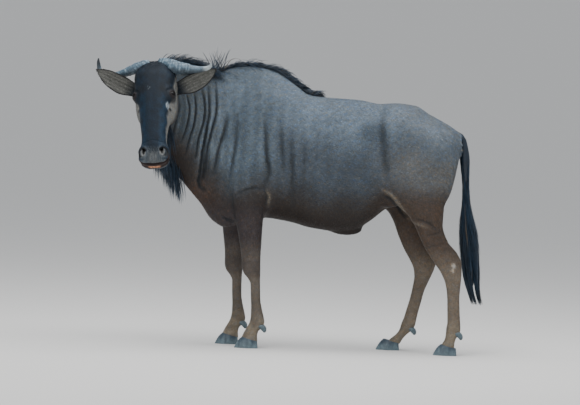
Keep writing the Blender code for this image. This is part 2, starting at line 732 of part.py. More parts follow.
def finish(piece, finish_material):
    piece.data.materials.clear()
    piece.data.materials.append(finish_material)
    piece.data.transform(Matrix.Translation(SHIFT))
    piece.data.shade_smooth()


# Locks of the mane and the beard
def slope_of(field, points, small=0.002):
    rises = [field(points + small * unit) - field(points - small * unit) for unit in np.eye(3)]
    return np.stack(rises, 1) / (2 * small)


def fallen(roots, ways, lengths, lift, weight, rings):
    """Middle lines of locks that set out along the given ways, bend down and come to rest on the flesh."""
    step = lengths[:, None] / LOCK_STEPS
    at = roots
    paths = [roots - ways * LOCK_SUNK]
    for i in range(1, LOCK_STEPS + 1):
        before = at
        at = at + ways * step
        at = at + slope_of(bare, at) * np.maximum(lift - bare(at), 0)[:, None]
        ways = (at - before) / np.linalg.norm(at - before, axis=1, keepdims=True)
        ways[:, 2] -= weight * LOCK_TURN * step[:, 0]
        ways /= np.linalg.norm(ways, axis=1, keepdims=True)
        if i % (LOCK_STEPS // (rings - 1)) == 0:
            paths.append(at)
    return np.stack(paths, 1)


def lock(path, half, aside):
    """A flat tapered lock, widest near its root."""
    shape = curve(LOCK_SHAPE, np.linspace(0, 1, len(path)))
    return tube("lock", path, shape * half[0], shape * half[1], aside, 3, turn=math.pi / 2)


def settled_roots(roots):
    """Points moved straight onto the bare flesh."""
    for _ in range(4):
        roots = roots - slope_of(bare, roots) * bare(roots)[:, None]
    return roots


def spine_way(ahead):
    """Unit vector forward along the spine's plan curve."""
    way = spine_point(ahead + 0.01, 0, 0) - spine_point(ahead - 0.01, 0, 0)
    return way / np.linalg.norm(way)


def mane_locks(chance):
    """Locks in two rows on the crest, most of which fall to the right."""
    roots, ways, lengths, asides = [], [], [], []
    for i in range(MANE_LOCKS):
        share = (i + chance.uniform(-0.3, 0.3)) / (MANE_LOCKS - 1)
        ahead = MANE_SPAN[0] + (MANE_SPAN[1] - MANE_SPAN[0]) * share
        forward = spine_way(ahead)
        right = np.cross(forward, (0, 0, 1))
        row = -MANE_ROW if i % 2 else MANE_ROW
        height = float(curve(BACK_LINE, np.array([ahead]))[0])
        rise = float(curve(MANE_RISE, np.array([ahead]))[0])
        over = MANE_OVER_LEFT if i % 7 == 3 else chance.uniform(*MANE_OVER)
        way = np.array([0, 0, MANE_UP[0] + MANE_UP[1] * rise]) + right * over
        way -= forward * chance.uniform(*MANE_BACK)
        roots.append(spine_point(ahead, -row, height))
        ways.append(way / np.linalg.norm(way))
        lengths.append(float(curve(MANE_LENGTH, np.array([ahead]))[0]) * chance.uniform(0.8, 1.15))
        asides.append(forward + right * chance.uniform(-0.25, 0.25))
    roots = settled_roots(np.array(roots))
    paths = fallen(roots, np.array(ways), np.array(lengths), LOCK_LIFT, MANE_WEIGHT, MANE_RINGS)
    made = [lock(path, MANE_HALF, aside) for path, aside in zip(paths, asides)]
    for ahead, length in MANE_WISPS:
        base = spine_point(ahead, 0, float(curve(BACK_LINE, np.array([ahead]))[0]))
        away = -spine_way(ahead) * chance.uniform(-0.45, 0.45) + np.array([0, 0, 1.0])
        bend = spine_way(ahead) * 0.15
        path = [base + (away * t + bend * t * t) * length - np.array([0, 0, LOCK_SUNK * (t == 0)])
                for t in np.linspace(0, 1, BEARD_RINGS)]
        made.append(lock(path, WISP_HALF, spine_way(ahead)))
    return made


def beard_locks(chance):
    """Locks that hang from the throat and from under the jaw."""
    roots, asides = [], []
    for i in range(THROAT_LOCKS):
        ahead = THROAT_SPAN[0] + (THROAT_SPAN[1] - THROAT_SPAN[0]) * i / (THROAT_LOCKS - 1)
        left = (-0.020, 0.020, 0.0)[i % 3] + chance.uniform(-0.006, 0.006)
        roots.append(spine_point(ahead, left, float(curve(BELLY_LINE, np.array([ahead]))[0])))
        asides.append(spine_way(ahead))
    for i in range(JAW_LOCKS):
        down = JAW_SPAN[0] + (JAW_SPAN[1] - JAW_SPAN[0]) * i / (JAW_LOCKS - 1)
        left = (-0.018, 0.018)[i % 2] + chance.uniform(-0.006, 0.006)
        roots.append(from_head((left, float(curve(JAW_LINE, np.array([down]))[0]), down)))
        asides.append(AXES[0] * chance.uniform(0.3, 1.0) + AXES[1] * 0.5)
    count = len(roots)
    lengths = np.array([BEARD_LENGTH * chance.uniform(0.75, 1.2) for _ in range(count)])
    back, sway, aside = BEARD_WAY
    ways = []
    for _ in range(count):
        ways.append((back + chance.uniform(-sway, sway), chance.uniform(-aside, aside), -1.0))
    ways = np.array(ways)
    ways /= np.linalg.norm(ways, axis=1, keepdims=True)
    paths = fallen(settled_roots(np.array(roots)), ways, lengths, LOCK_LIFT, BEARD_WEIGHT, BEARD_RINGS)
    return [lock(path, BEARD_HALF, aside) for path, aside in zip(paths, asides)]


# The flesh as one mesh
def whole(name, low, high, step):
    """The flesh between two corners."""
    points, faces = surface(flesh, low, high, step)
    made = mesh_object(name, settled(flesh, points, step), faces)
    triangulate(made)
    return made


def wedge(name, x_range, side, rise, grow):
    """The region of one leg below its joint with the trunk: higher outside than inside."""
    inner, outer = 0.012 - grow, 0.30
    low_in, high_out = rise[0] + grow, rise[1] + grow
    points = []
    for x in (x_range[0] - grow, x_range[1] + grow):
        for y, z in ((inner, -0.1), (outer, -0.1), (outer, high_out), (inner, low_in)):
            points.append((x, side * y, z))
    faces = [(0, 1, 2, 3), (4, 7, 6, 5), (0, 4, 5, 1), (1, 5, 6, 2), (2, 6, 7, 3), (3, 7, 4, 0)]
    made = mesh_object(name, points, faces)
    triangulate(made)
    return made


# Where the flesh is divided
HEAD_PLANE = ((-0.645, -0.228, 1.200), (-0.30, -0.954, 0.0))
NECK_PLANE = ((-0.140, 0.0, 1.380), (-0.956, 0.0, 0.294))
LEGS = {
    "foreleg_left": ((-0.345, -0.060), -1, (0.590, 0.860), 0.388, -0.230),
    "foreleg_right": ((-0.420, -0.110), 1, (0.590, 0.860), 0.388, -0.328),
    "hindleg_left": ((0.445, 0.930), -1, (0.665, 0.980), 0.458, 0.742),
    "hindleg_right": ((0.430, 0.930), 1, (0.665, 0.980), 0.458, 0.466),
}


def opposite(direction):
    return tuple(-d for d in direction)


def stepped(at, toward, distance):
    """A point moved along a direction."""
    return Vector(at) + Vector(toward).normalized() * distance


def coronet(toe):
    """The sloping plane where hair meets hoof, as a point and a direction up."""
    run = HOOF_LENGTH - CORONET_SETBACK
    return (toe + CORONET_SETBACK, 0.0, CORONET_FRONT), (CORONET_FRONT - CORONET_BACK, 0.0, run)


def neck_and_torso(flesh_mesh):
    neck = cut_piece(flesh_mesh, "neck", (
        (stepped(HEAD_PLANE[0], HEAD_PLANE[1], -GAP), opposite(HEAD_PLANE[1])),
        (NECK_PLANE[0], NECK_PLANE[1]),
    ))
    torso = cut_piece(flesh_mesh, "torso", (
        (stepped(NECK_PLANE[0], NECK_PLANE[1], -GAP), opposite(NECK_PLANE[1])),
    ))
    for x_range, side, rise, _, _ in LEGS.values():
        cutter = wedge("cutter", x_range, side, rise, GAP)
        boolean(torso, cutter, "DIFFERENCE")
        discard(cutter)
    keep_largest(torso)
    return neck, torso


def leg_pieces(flesh_mesh, name):
    """Upper and lower part of one leg."""
    x_range, side, rise, joint, toe = LEGS[name]
    whole_leg = copy_of(flesh_mesh, name)
    cutter = wedge("cutter", x_range, side, rise, 0.0)
    boolean(whole_leg, cutter, "INTERSECT")
    discard(cutter)
    keep_largest(whole_leg)
    up = (0.0, 0.0, 1.0)
    sole, slope = coronet(toe)
    behind_neck = (stepped(NECK_PLANE[0], NECK_PLANE[1], -GAP), opposite(NECK_PLANE[1]))
    upper = cut_piece(whole_leg, name + "_upper", (((0, 0, joint + GAP), up), behind_neck))
    lower = cut_piece(whole_leg, name + "_lower", (((0, 0, joint), opposite(up)), (sole, slope)))
    discard(whole_leg)
    return upper, lower


# Hooves
def claw(name, toe, middle, inward):
    """One half of a cloven hoof, flat below and cut off above along the coronet."""
    sides = HOOF_SIDES
    points = []
    for level, back, wide in HOOF_LEVELS:
        front_x = toe + back
        rear_x = toe + HOOF_LENGTH - 0.004 * level
        for k in range(sides):
            angle = 2 * math.pi * k / sides
            x = (front_x + rear_x) / 2 - (rear_x - front_x) / 2 * math.cos(angle)
            narrow = 1 - HEEL_NARROW * max(math.cos(angle), 0) ** 2
            y = middle + HOOF_HALF * wide * narrow * math.sin(angle)
            y += inward * HEEL_INWARD * max(math.cos(angle), 0)
            run = min(max((x - toe - CORONET_SETBACK) / (HOOF_LENGTH - CORONET_SETBACK), 0), 1)
            top = CORONET_FRONT + (CORONET_BACK - CORONET_FRONT) * run - GAP
            points.append((x, y, level * top))
    faces = [tuple(range(sides)), tuple(range(3 * sides, 4 * sides))[::-1]]
    for i in range(3):
        for k in range(sides):
            j = (k + 1) % sides
            faces.append((i * sides + k, (i + 1) * sides + k, (i + 1) * sides + j, i * sides + j))
    made = mesh_object(name, points, faces)
    triangulate(made)
    return made


def fetlock_back(name):
    """Where the back of a leg is at the height of its dewclaws."""
    slices, stride = (FORE_LEG, FORE_STEP) if "fore" in name else (HIND_LEG, HIND_STEP)
    at = np.array([DEWCLAW_HEIGHT])
    back = curve(np.array(slices)[:, (0, 2)], at)[0]
    return back + (curve(stride, at)[0] if "right" in name else 0.0)


def dewclaw(name, lower, behind, across):
    """A small horn behind the fetlock, seated on the leg."""
    path = [(behind + x, across, DEWCLAW_HEIGHT + z) for x, z in DEWCLAW_PATH]
    made = tube(name, path, *DEWCLAW_HALF, (0, 1, 0), 6, False)
    seat(made, lower)
    return made


# Head pieces
def ear(name, side, neighbours):
    """A leaf-shaped cup that opens forward."""
    root = np.array(EAR_ROOT) * (1 if side == "left" else -1, 1, 1)
    tip = np.array(EAR_TIPS[side]) * (1 if side == "left" else -1, 1, 1)
    along = (tip - root) / np.linalg.norm(tip - root)
    length = np.linalg.norm(tip - root)
    front = np.array(EAR_FACES) - along * np.dot(EAR_FACES, along)
    front /= np.linalg.norm(front)
    across = np.cross(along, front)
    rows = EAR_ROWS
    columns = EAR_COLUMNS
    points = []
    for skin in (0.0, EAR_THICK):
        for i in range(rows):
            t = i / (rows - 1)
            half = float(curve(EAR_WIDE, np.array([t]))[0]) * EAR_HALF
            opening = math.radians(float(curve(EAR_FOLD, np.array([t]))[0]))
            radius = half / math.sin(min(opening, math.pi / 2))
            for k in range(columns):
                angle = opening * (2 * k / (columns - 1) - 1)
                thin = skin * (1 - 0.6 * abs(2 * k / (columns - 1) - 1)) * (1 - 0.5 * t)
                r = radius + thin
                place = root + along * length * t + across * r * math.sin(angle)
                place = place + front * (radius - r * math.cos(angle) - 0.25 * half)
                place = place - front * EAR_BEND * math.sin(math.pi * t)
                place[2] += EAR_SAG * math.sin(math.pi * t)
                points.append(from_head(place))
    size = rows * columns
    faces = []
    for i in range(rows - 1):
        for k in range(columns - 1):
            a = i * columns + k
            faces.append((a, a + 1, a + columns + 1, a + columns))
            faces.append((size + a, size + a + columns, size + a + columns + 1, size + a + 1))
    rim = [(i, 0) for i in range(rows - 1)] + [(rows - 1, k) for k in range(columns - 1)]
    rim += [(i, columns - 1) for i in range(rows - 1, 0, -1)] + [(0, k) for k in range(columns - 1, 0, -1)]
    ring = [i * columns + k for i, k in rim]
    for a, b in zip(ring, ring[1:] + ring[:1]):
        faces.append((a, b, size + b, size + a))
    made = mesh_object(name, points, faces)
    triangulate(made)
    seat(made, *neighbours)
    return made


def horn(name, side, base):
    """A horn from its wide boss out to the tip, seated on the skull."""
    stations = np.array(HORNS[side])
    away = np.concatenate([[0], np.cumsum(np.linalg.norm(np.diff(stations[:, :3], axis=0), axis=1))])
    at = np.linspace(0, away[-1], 13)
    path = np.stack([curve(np.stack([away, stations[:, i]], 1), at) for i in range(3)], 1)
    thick = curve(np.stack([away, stations[:, 3]], 1), at)
    path = np.array([from_head(place) for place in path])
    made = tube(name, path, thick, thick * HORN_FLAT, AXES[2], 8)
    seat(made, base)
    return made


def eye_frame(side):
    """Centre of the eye and its directions: outward, toward the back corner, and down."""
    flip = np.array([1 if side == "left" else -1, 1, 1])
    ahead = np.array(EYE_AHEAD) * flip
    ahead /= np.linalg.norm(ahead)
    down = np.array([0.0, 0.0, 1.0]) - ahead * ahead[2]
    down /= np.linalg.norm(down)
    back = np.cross(down, ahead) * (1 if side == "left" else -1)
    tilt = math.radians(LID_TILT)
    turned = back * math.cos(tilt) - down * math.sin(tilt)
    down = down * math.cos(tilt) + back * math.sin(tilt)
    return from_head(np.array(EYE) * flip), ahead @ AXES, turned @ AXES, down @ AXES


def ball(name, centre, radius, segments=12, rings=6):
    work = bmesh.new()
    bmesh.ops.create_uvsphere(work, u_segments=segments, v_segments=rings, radius=radius)
    bmesh.ops.transform(work, matrix=Matrix.Translation(Vector(centre)), verts=work.verts)
    made = bpy.data.objects.new(name, bpy.data.meshes.new(name))
    work.to_mesh(made.data)
    work.free()
    bpy.context.scene.collection.objects.link(made)
    triangulate(made)
    return made


def lid(side, rise):
    """One eyelid as a curved roll over the eyeball. A positive rise is the lower lid."""
    centre, ahead, back, down = eye_frame(side)
    path = []
    for i in range(LID_STEPS):
        across = 2 * i / (LID_STEPS - 1) - 1
        yaw = LID_YAW * across
        pitch = math.radians(rise) * (1 - across * across)
        level = math.cos(yaw) * ahead + math.sin(yaw) * back
        path.append(centre + (math.cos(pitch) * level + math.sin(pitch) * down) * LID_REACH)
    thick = [LID_THICK * (0.55 + 0.45 * math.sin(math.pi * i / (LID_STEPS - 1))) for i in range(LID_STEPS)]
    return tube("lid", path, thick, thick, ahead, 6, False)


def mouth_cutter():
    """A thin plate that leaves the line of the mouth as a shallow groove."""
    points = []
    ring = MOUTH_RING
    for out in (MOUTH_OUT - MOUTH_THICK / 2, MOUTH_OUT + MOUTH_THICK / 2):
        for inset in MOUTH_INSETS:
            for k in range(ring):
                angle = math.pi * (k / (ring - 1) - 0.5)
                across = (MOUTH_HALF + inset) * math.sin(angle)
                down = MOUTH_CORNER + (MOUTH_LENGTH + inset) * max(math.cos(angle), 0.0) ** 0.8
                points.append(from_head((across, out - MOUTH_SLOPE * (FACE_LENGTH - down), down)))
    faces = []
    inner_low, outer_low, inner_high, outer_high = (i * ring for i in range(4))
    for k in range(ring - 1):
        faces.append((inner_low + k, inner_low + k + 1, outer_low + k + 1, outer_low + k))
        faces.append((inner_high + k, outer_high + k, outer_high + k + 1, inner_high + k + 1))
        faces.append((inner_low + k, inner_high + k, inner_high + k + 1, inner_low + k + 1))
        faces.append((outer_low + k, outer_low + k + 1, outer_high + k + 1, outer_high + k))
    for k in (0, ring - 1):
        faces.append((inner_low + k, outer_low + k, outer_high + k, inner_high + k))
    made = mesh_object("mouth", points, faces)
    triangulate(made)
    return made


def head_piece(flesh_mesh):
    made = cut_piece(flesh_mesh, "head", ((HEAD_PLANE[0], HEAD_PLANE[1]),))
    for side in ("left", "right"):
        for rise in LID_RISES:
            roll = lid(side, rise)
            boolean(made, roll, "UNION", "MANIFOLD")
            discard(roll)
        socket = ball("socket", eye_frame(side)[0], EYE_RADIUS + GAP)
        boolean(made, socket, "DIFFERENCE", "MANIFOLD")
        discard(socket)
    mouth = mouth_cutter()
    boolean(made, mouth, "DIFFERENCE", "MANIFOLD")
    discard(mouth)
    keep_largest(made)
    return made


# Tail
def tail_point(height):
    at = np.array([height])
    return float(curve(TAIL_LINE, at)[0]), float(curve(TAIL_HALF, at)[0])


def tail_locks(chance):
    """Locks in tiers round the tail, each from its core out to the tail's own outline."""
    made = []
    for i in range(TAIL_LOCKS):
        share = i / (TAIL_LOCKS - 1)
        top = TAIL_HAIR_TOP + (TAIL_LINE[0][0] + TAIL_LENGTH + 0.01 - TAIL_HAIR_TOP) * share
        length = TAIL_LENGTH * chance.uniform(0.85, 1.1)
        angle = i * GOLDEN_ANGLE + chance.uniform(-0.3, 0.3)
        path = []
        for t in np.linspace(0, 1, TAIL_LOCK_RINGS):
            height = max(top - length * t, TAIL_LINE[0][0] + 0.012)
            x, half = tail_point(height)
            reach = half * (0.30 + 0.72 * t ** 0.7)
            path.append((x + reach * math.cos(angle), 0.85 * reach * math.sin(angle), height))
        made.append(lock(path, TAIL_LOCK_HALF, (-math.sin(angle), math.cos(angle), 0)))
    return made


def tail_piece(base, chance):
    """The dock and its long hair."""
    path, half_a, half_b = [(TAIL_TOP_AT, 0.0, TAIL_TOP + 0.010)], [0.018], [0.018]
    for i in range(TAIL_RINGS):
        height = TAIL_TOP + (TAIL_CORE_END - TAIL_TOP) * i / (TAIL_RINGS - 1)
        x, half = tail_point(height)
        path.append((x, 0.0, height))
        reach = HAIR_CORE if height < TAIL_HAIR_TOP - 0.03 else 1.0
        half_a.append(max(half * reach, 0.008))
        half_b.append(max(half * reach * 0.85, 0.007))
    made = tube("tail", path, half_a, half_b, (1, 0, 0), 8)
    fuse(made, tail_locks(chance))
    seat(made, base)
    return made


def build():
    coat = material("coat", (0.085, 0.095, 0.105), 0.75)
    leg_coat = material("leg_coat", (0.100, 0.085, 0.072), 0.75)
    face_coat = material("face_coat", (0.020, 0.024, 0.030), 0.55)
    hair = material("hair", (0.012, 0.013, 0.016), 0.55)
    ear_coat = material("ear_coat", (0.110, 0.095, 0.080), 0.80)
    horn_sheath = material("horn_sheath", (0.210, 0.225, 0.235), 0.50)
    hoof_horn = material("hoof_horn", (0.130, 0.145, 0.155), 0.45)
    eye_wet = material("eye_wet", (0.016, 0.010, 0.007), 0.08)

    chance = random.Random(SEED)
    rough = whole("whole", *BODY_BOX, BODY_STEP)
    reduce_to(rough, BODY_FACES)
    locks = mane_locks(chance) + beard_locks(chance)
    same_locks = [copy_of(shape, "lock") for shape in locks]
    fuse(rough, locks)
    neck, torso = neck_and_torso(rough)
    finished = [(neck, coat), (torso, coat)]
    for name, (_, side, _, _, toe) in LEGS.items():
        upper, lower = leg_pieces(rough, name)
        middle = side * FOOT_OUT
        behind = fetlock_back(name)
        for claw_name, aside in (("inner", -side), ("outer", side)):
            hoof = claw(name + "_hoof_" + claw_name, toe, middle + aside * CLAW_SPREAD, -aside)
            spur = dewclaw(name + "_dewclaw_" + claw_name, lower, behind, middle + aside * DEWCLAW_ASIDE)
            finished += [(hoof, hoof_horn), (spur, hoof_horn)]
        finished += [(upper, leg_coat), (lower, leg_coat)]
    tail = tail_piece(torso, chance)
    finished.append((tail, hair))
    discard(rough)

    fine = whole("whole_head", *HEAD_BOX, HEAD_STEP)
    reduce_to(fine, HEAD_FACES)
    fuse(fine, same_locks)
    head_mesh = head_piece(fine)
    discard(fine)
    finished.append((head_mesh, face_coat))
    for side in ("left", "right"):
        horn_mesh = horn("horn_" + side, side, head_mesh)
        finished.append((horn_mesh, horn_sheath))
        finished.append((ear("ear_" + side, side, (head_mesh, horn_mesh)), ear_coat))
        finished.append((ball("eye_" + side, eye_frame(side)[0], EYE_RADIUS), eye_wet))
    for piece, its_material in finished:
        finish(piece, its_material)


if __name__ == "__main__":
    build()
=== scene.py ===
"""The looks of a life-size blue wildebeest bull that stands side-on and turns its head to its left.

Metres, +Z up. The fields below are those of the solids: one smooth field for the flesh, negative inside.
One skin stands for all the nodes of flesh and lies under the short coat. Horns, ears, eyes and feet are
finer forms of their nodes, and the mane, beard and tail are strands of hair."""

import math

import bpy
import numpy as np
from mathutils import Matrix, Vector


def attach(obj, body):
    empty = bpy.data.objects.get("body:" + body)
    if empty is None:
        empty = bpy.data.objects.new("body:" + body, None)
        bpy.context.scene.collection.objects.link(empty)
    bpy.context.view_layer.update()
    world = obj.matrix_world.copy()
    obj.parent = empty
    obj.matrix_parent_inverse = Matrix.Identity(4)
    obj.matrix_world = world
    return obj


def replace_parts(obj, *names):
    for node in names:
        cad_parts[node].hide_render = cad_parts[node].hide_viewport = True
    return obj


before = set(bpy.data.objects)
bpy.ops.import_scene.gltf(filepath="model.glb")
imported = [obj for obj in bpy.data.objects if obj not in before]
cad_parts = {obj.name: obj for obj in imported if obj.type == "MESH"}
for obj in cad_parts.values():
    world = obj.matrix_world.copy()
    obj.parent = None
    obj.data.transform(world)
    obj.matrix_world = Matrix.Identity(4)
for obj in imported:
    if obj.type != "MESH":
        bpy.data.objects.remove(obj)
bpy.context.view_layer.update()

# Place of the fields in the frame, and settings of the whole script
SHIFT = np.array([-0.003, 0.159, 0.0])
SEED = 20
UP = np.array([0.0, 0.0, 1.0])
SIDES = ("left", "right")
FLIPS = {"left": np.array([1, 1, 1]), "right": np.array([-1, 1, 1])}
DARKEST = 0.0008
WAVES = 7

# Plan curve of the spine: straight to the withers, then an arc to the left, then straight to the poll
BEND_START = 0.24
BEND_RADIUS = 0.45
BEND_TURN = math.radians(60)
REAR_END = -0.845
FRONT_END = 0.77

# Stations of the trunk and neck, by distance forward along the spine
BACK_LINE = (
    (-0.84, 1.085), (-0.785, 1.122), (-0.685, 1.174), (-0.610, 1.214), (-0.54, 1.218), (-0.44, 1.216),
    (-0.34, 1.231), (-0.14, 1.240), (-0.09, 1.249), (-0.04, 1.281), (0.06, 1.348), (0.11, 1.366),
    (0.20, 1.378), (0.27, 1.373), (0.37, 1.343), (0.46, 1.347), (0.56, 1.360), (0.66, 1.365), (0.80, 1.350),
)
BELLY_LINE = (
    (-0.84, 0.96), (-0.70, 0.83), (-0.60, 0.765), (-0.48, 0.69), (-0.41, 0.632), (-0.33, 0.585),
    (-0.25, 0.577), (-0.12, 0.590), (-0.02, 0.614), (0.10, 0.629), (0.22, 0.600), (0.30, 0.582),
    (0.36, 0.620), (0.44, 0.705), (0.54, 0.805), (0.62, 0.88), (0.70, 0.96), (0.80, 1.06),
)
HALF_WIDTH = (
    (-0.84, 0.050), (-0.78, 0.092), (-0.68, 0.140), (-0.56, 0.168), (-0.44, 0.175), (-0.30, 0.192),
    (-0.15, 0.197), (0.0, 0.186), (0.12, 0.166), (0.24, 0.145), (0.36, 0.115), (0.48, 0.094),
    (0.60, 0.084), (0.80, 0.076),
)
WIDEST_AT = (
    (-0.84, 1.01), (-0.60, 0.99), (-0.40, 0.89), (-0.15, 0.84), (0.10, 0.86), (0.30, 0.91), (0.50, 1.05),
    (0.70, 1.17), (0.80, 1.20),
)
UPPER_ROUND = (
    (-0.84, 2.0), (-0.50, 1.9), (-0.15, 1.95), (0.05, 1.6), (0.25, 1.5), (0.45, 1.6), (0.80, 1.8),
)
LOWER_ROUND = ((-0.84, 2.0), (-0.30, 2.1), (0.0, 2.1), (0.25, 1.9), (0.50, 1.7), (0.80, 1.8))

# Muscles and bones that show, once for each side: centre, half sizes, lean in degrees, blend
MUSCLES = (
    ((-0.200, 0.088, 1.080), (0.095, 0.056, 0.190), 27, 0.07),
    ((-0.320, 0.095, 0.880), (0.080, 0.060, 0.095), 10, 0.06),
    ((-0.145, 0.110, 0.900), (0.100, 0.062, 0.135), -25, 0.06),
    ((-0.108, 0.126, 0.765), (0.034, 0.034, 0.050), 0, 0.03),
    ((-0.300, 0.045, 0.680), (0.085, 0.060, 0.085), 35, 0.05),
    ((0.425, 0.140, 1.100), (0.050, 0.028, 0.036), 0, 0.06),
    ((0.560, 0.085, 1.050), (0.160, 0.078, 0.100), 65, 0.08),
    ((0.670, 0.098, 0.920), (0.120, 0.078, 0.180), 12, 0.08),
    ((0.768, 0.068, 0.920), (0.056, 0.058, 0.160), 4, 0.05),
    ((0.540, 0.118, 0.815), (0.075, 0.058, 0.115), 38, 0.06),
)
FLANK_HOLLOW = ((0.395, 0.235, 1.010), (0.060, 0.045, 0.110), 10, 0.07)
SHEATH = ((0.300, 0.0, 0.590), (0.070, 0.026, 0.028), 0, 0.03)

# Left legs in level slices: height, front, back, half width and distance from the middle
FORE_LEG = (
    (0.030, -0.202, -0.114, 0.036, 0.107), (0.060, -0.193, -0.117, 0.033, 0.107),
    (0.080, -0.184, -0.113, 0.030, 0.107), (0.105, -0.170, -0.091, 0.032, 0.107),
    (0.130, -0.159, -0.084, 0.034, 0.107), (0.160, -0.155, -0.090, 0.031, 0.108),
    (0.190, -0.155, -0.098, 0.028, 0.108), (0.240, -0.158, -0.108, 0.0255, 0.109),
    (0.315, -0.163, -0.112, 0.029, 0.111), (0.340, -0.176, -0.113, 0.034, 0.112),
    (0.365, -0.197, -0.113, 0.039, 0.113), (0.395, -0.207, -0.114, 0.042, 0.113),
    (0.440, -0.211, -0.115, 0.040, 0.114), (0.520, -0.226, -0.112, 0.048, 0.116),
    (0.620, -0.249, -0.108, 0.058, 0.118), (0.700, -0.268, -0.098, 0.064, 0.120),
    (0.780, -0.295, -0.085, 0.060, 0.115), (0.900, -0.310, -0.100, 0.030, 0.090),
)
HIND_LEG = (
    (0.030, 0.772, 0.846, 0.034, 0.107), (0.060, 0.786, 0.848, 0.032, 0.107),
    (0.080, 0.796, 0.853, 0.029, 0.107), (0.105, 0.800, 0.868, 0.032, 0.107),
    (0.130, 0.801, 0.874, 0.034, 0.107), (0.160, 0.805, 0.872, 0.031, 0.108),
    (0.215, 0.803, 0.867, 0.027, 0.109), (0.290, 0.799, 0.863, 0.026, 0.110),
    (0.350, 0.788, 0.866, 0.031, 0.112), (0.400, 0.766, 0.868, 0.037, 0.114),
    (0.450, 0.730, 0.867, 0.036, 0.116), (0.500, 0.693, 0.845, 0.036, 0.118),
    (0.560, 0.658, 0.795, 0.044, 0.120), (0.640, 0.618, 0.769, 0.056, 0.122),
    (0.720, 0.555, 0.772, 0.066, 0.118), (0.800, 0.480, 0.795, 0.066, 0.112),
    (0.940, 0.490, 0.800, 0.030, 0.090),
)
FORE_STEP = (
    (0.0, -0.097), (0.280, -0.094), (0.450, -0.084), (0.600, -0.074), (0.950, -0.020),
)
HIND_STEP = (
    (0.0, -0.275), (0.050, -0.252), (0.100, -0.223), (0.150, -0.211), (0.200, -0.196),
    (0.250, -0.180), (0.300, -0.166), (0.450, -0.116), (0.700, -0.088), (0.950, -0.015),
)

# Legs: slices, side (-1 is the animal's left), stride, and about where along the body each stands
LEGS = (
    (FORE_LEG, -1, None, -0.25), (FORE_LEG, 1, FORE_STEP, -0.25),
    (HIND_LEG, -1, None, 0.55), (HIND_LEG, 1, HIND_STEP, 0.55),
)
LEG_REACH = 0.55
LEG_ROUND = 2.3
LEG_BLEND = 0.045

# Head: place of the poll, turn of the face, and stations by distance down the face
POLL = (-0.667, -0.300, 1.389)
FACE_TURN = math.radians(11)
FACE_PITCH = math.radians(22)
FACE_ROLL = math.radians(6.5)
FACE_LINE = (
    (-0.02, -0.030), (0.03, 0.016), (0.09, 0.038), (0.18, 0.044), (0.30, 0.037), (0.40, 0.028),
    (0.47, 0.014), (0.51, -0.004), (0.545, -0.040),
)
JAW_LINE = (
    (-0.02, -0.110), (0.08, -0.150), (0.20, -0.172), (0.27, -0.150), (0.33, -0.112), (0.42, -0.086),
    (0.50, -0.084), (0.545, -0.070),
)
FACE_HALF = (
    (-0.02, 0.060), (0.03, 0.088), (0.08, 0.103), (0.14, 0.099), (0.19, 0.090), (0.25, 0.081),
    (0.32, 0.071), (0.40, 0.062), (0.45, 0.065), (0.49, 0.070), (0.52, 0.066), (0.545, 0.044),
)
FACE_LENGTH = 0.540

# The widest height as shares of face and jaw, the roundness above and below it, and the ends
FACE_SHARES = (0.55, 0.45)
FACE_ROUND = (2.5, 2.1)
POLL_END = 0.015
END_BLEND = 0.03
HEAD_BLEND = 0.035

# Places on the head as left, out and down from the poll, and the line of the mouth
ORBIT = (0.074, -0.010, 0.179)
CHEEK = (0.068, -0.095, 0.205)
NOSE_WING = (0.047, -0.008, 0.478)
EAR_BASE = (0.060, -0.080, 0.116)
EYE = (0.0845, -0.0045, 0.181)
EYE_AHEAD = (0.74, 0.67, -0.05)
EYE_RADIUS = 0.0205
LID_TILT = 14
NOSTRIL = (0.046, 0.006, 0.476)
MOUTH_OUT = -0.016
MOUTH_SLOPE = 0.36
MOUTH_CORNER = 0.440
MOUTH_CURL = 4.0

# Forms of the head: centre, half sizes, lean, blend
HEAD_FORMS = (
    (ORBIT, (0.027, 0.034, 0.036), 0, 0.025),
    (CHEEK, (0.036, 0.062, 0.090), 0, 0.03),
    (NOSE_WING, (0.024, 0.028, 0.042), 0, 0.02),
    (EAR_BASE, (0.034, 0.036, 0.038), 0, 0.03),
)
NOSTRIL_HOLE = (NOSTRIL, (0.010, 0.020, 0.018), 0, 0.008)
HEAD_BALL = (0.0, -0.06, 0.26, 0.33)

# Lids: how thick they are, and the half width and the rises of the opening as shares of the eye's radius
LID_THICK = 0.0036
LID_BLEND = 0.012
LID_WIDE = 0.97
LID_UP = 0.72
LID_DOWN = 0.60
SOCKET_SLOPE = 0.016
SOCKET_DEPTH = 0.05
SOCKET_BLEND = 0.004

# The opening between the lids: roundness of the upper lid, slant of the corners, and its edge and rim
LID_ARCH = 0.8
LID_CORNER = 0.7
LID_EDGE = (-0.0002, 0.0011)
LID_RIM = (-0.0020, 0.0016)
LID_RIM_HEIGHT = 0.0009
EYE_BACK = 0.003

# Ears
EAR_ROOT = (0.078, -0.088, 0.124)
EAR_TIPS = {"left": (0.296, -0.050, 0.047), "right": (0.278, 0.015, 0.034)}
EAR_HALF = 0.044
EAR_SAG = 0.015
EAR_THICK = 0.005
EAR_BEND = 0.002
EAR_FACES = (0.0, 1.0, 0.50)
EAR_WIDE = ((0.0, 0.55), (0.18, 0.72), (0.45, 1.0), (0.68, 0.90), (0.86, 0.55), (1.0, 0.06))
EAR_FOLD = ((0.0, 110), (0.25, 66), (0.55, 44), (1.0, 26))
EAR_LENGTH = 0.24
EAR_ROWS = 40
EAR_COLUMNS = 33
EAR_RIB = 0.0012
EAR_TUFTS = 5000
EAR_TUFT_WIDTH = 0.0015
EAR_STREAK = 0.017

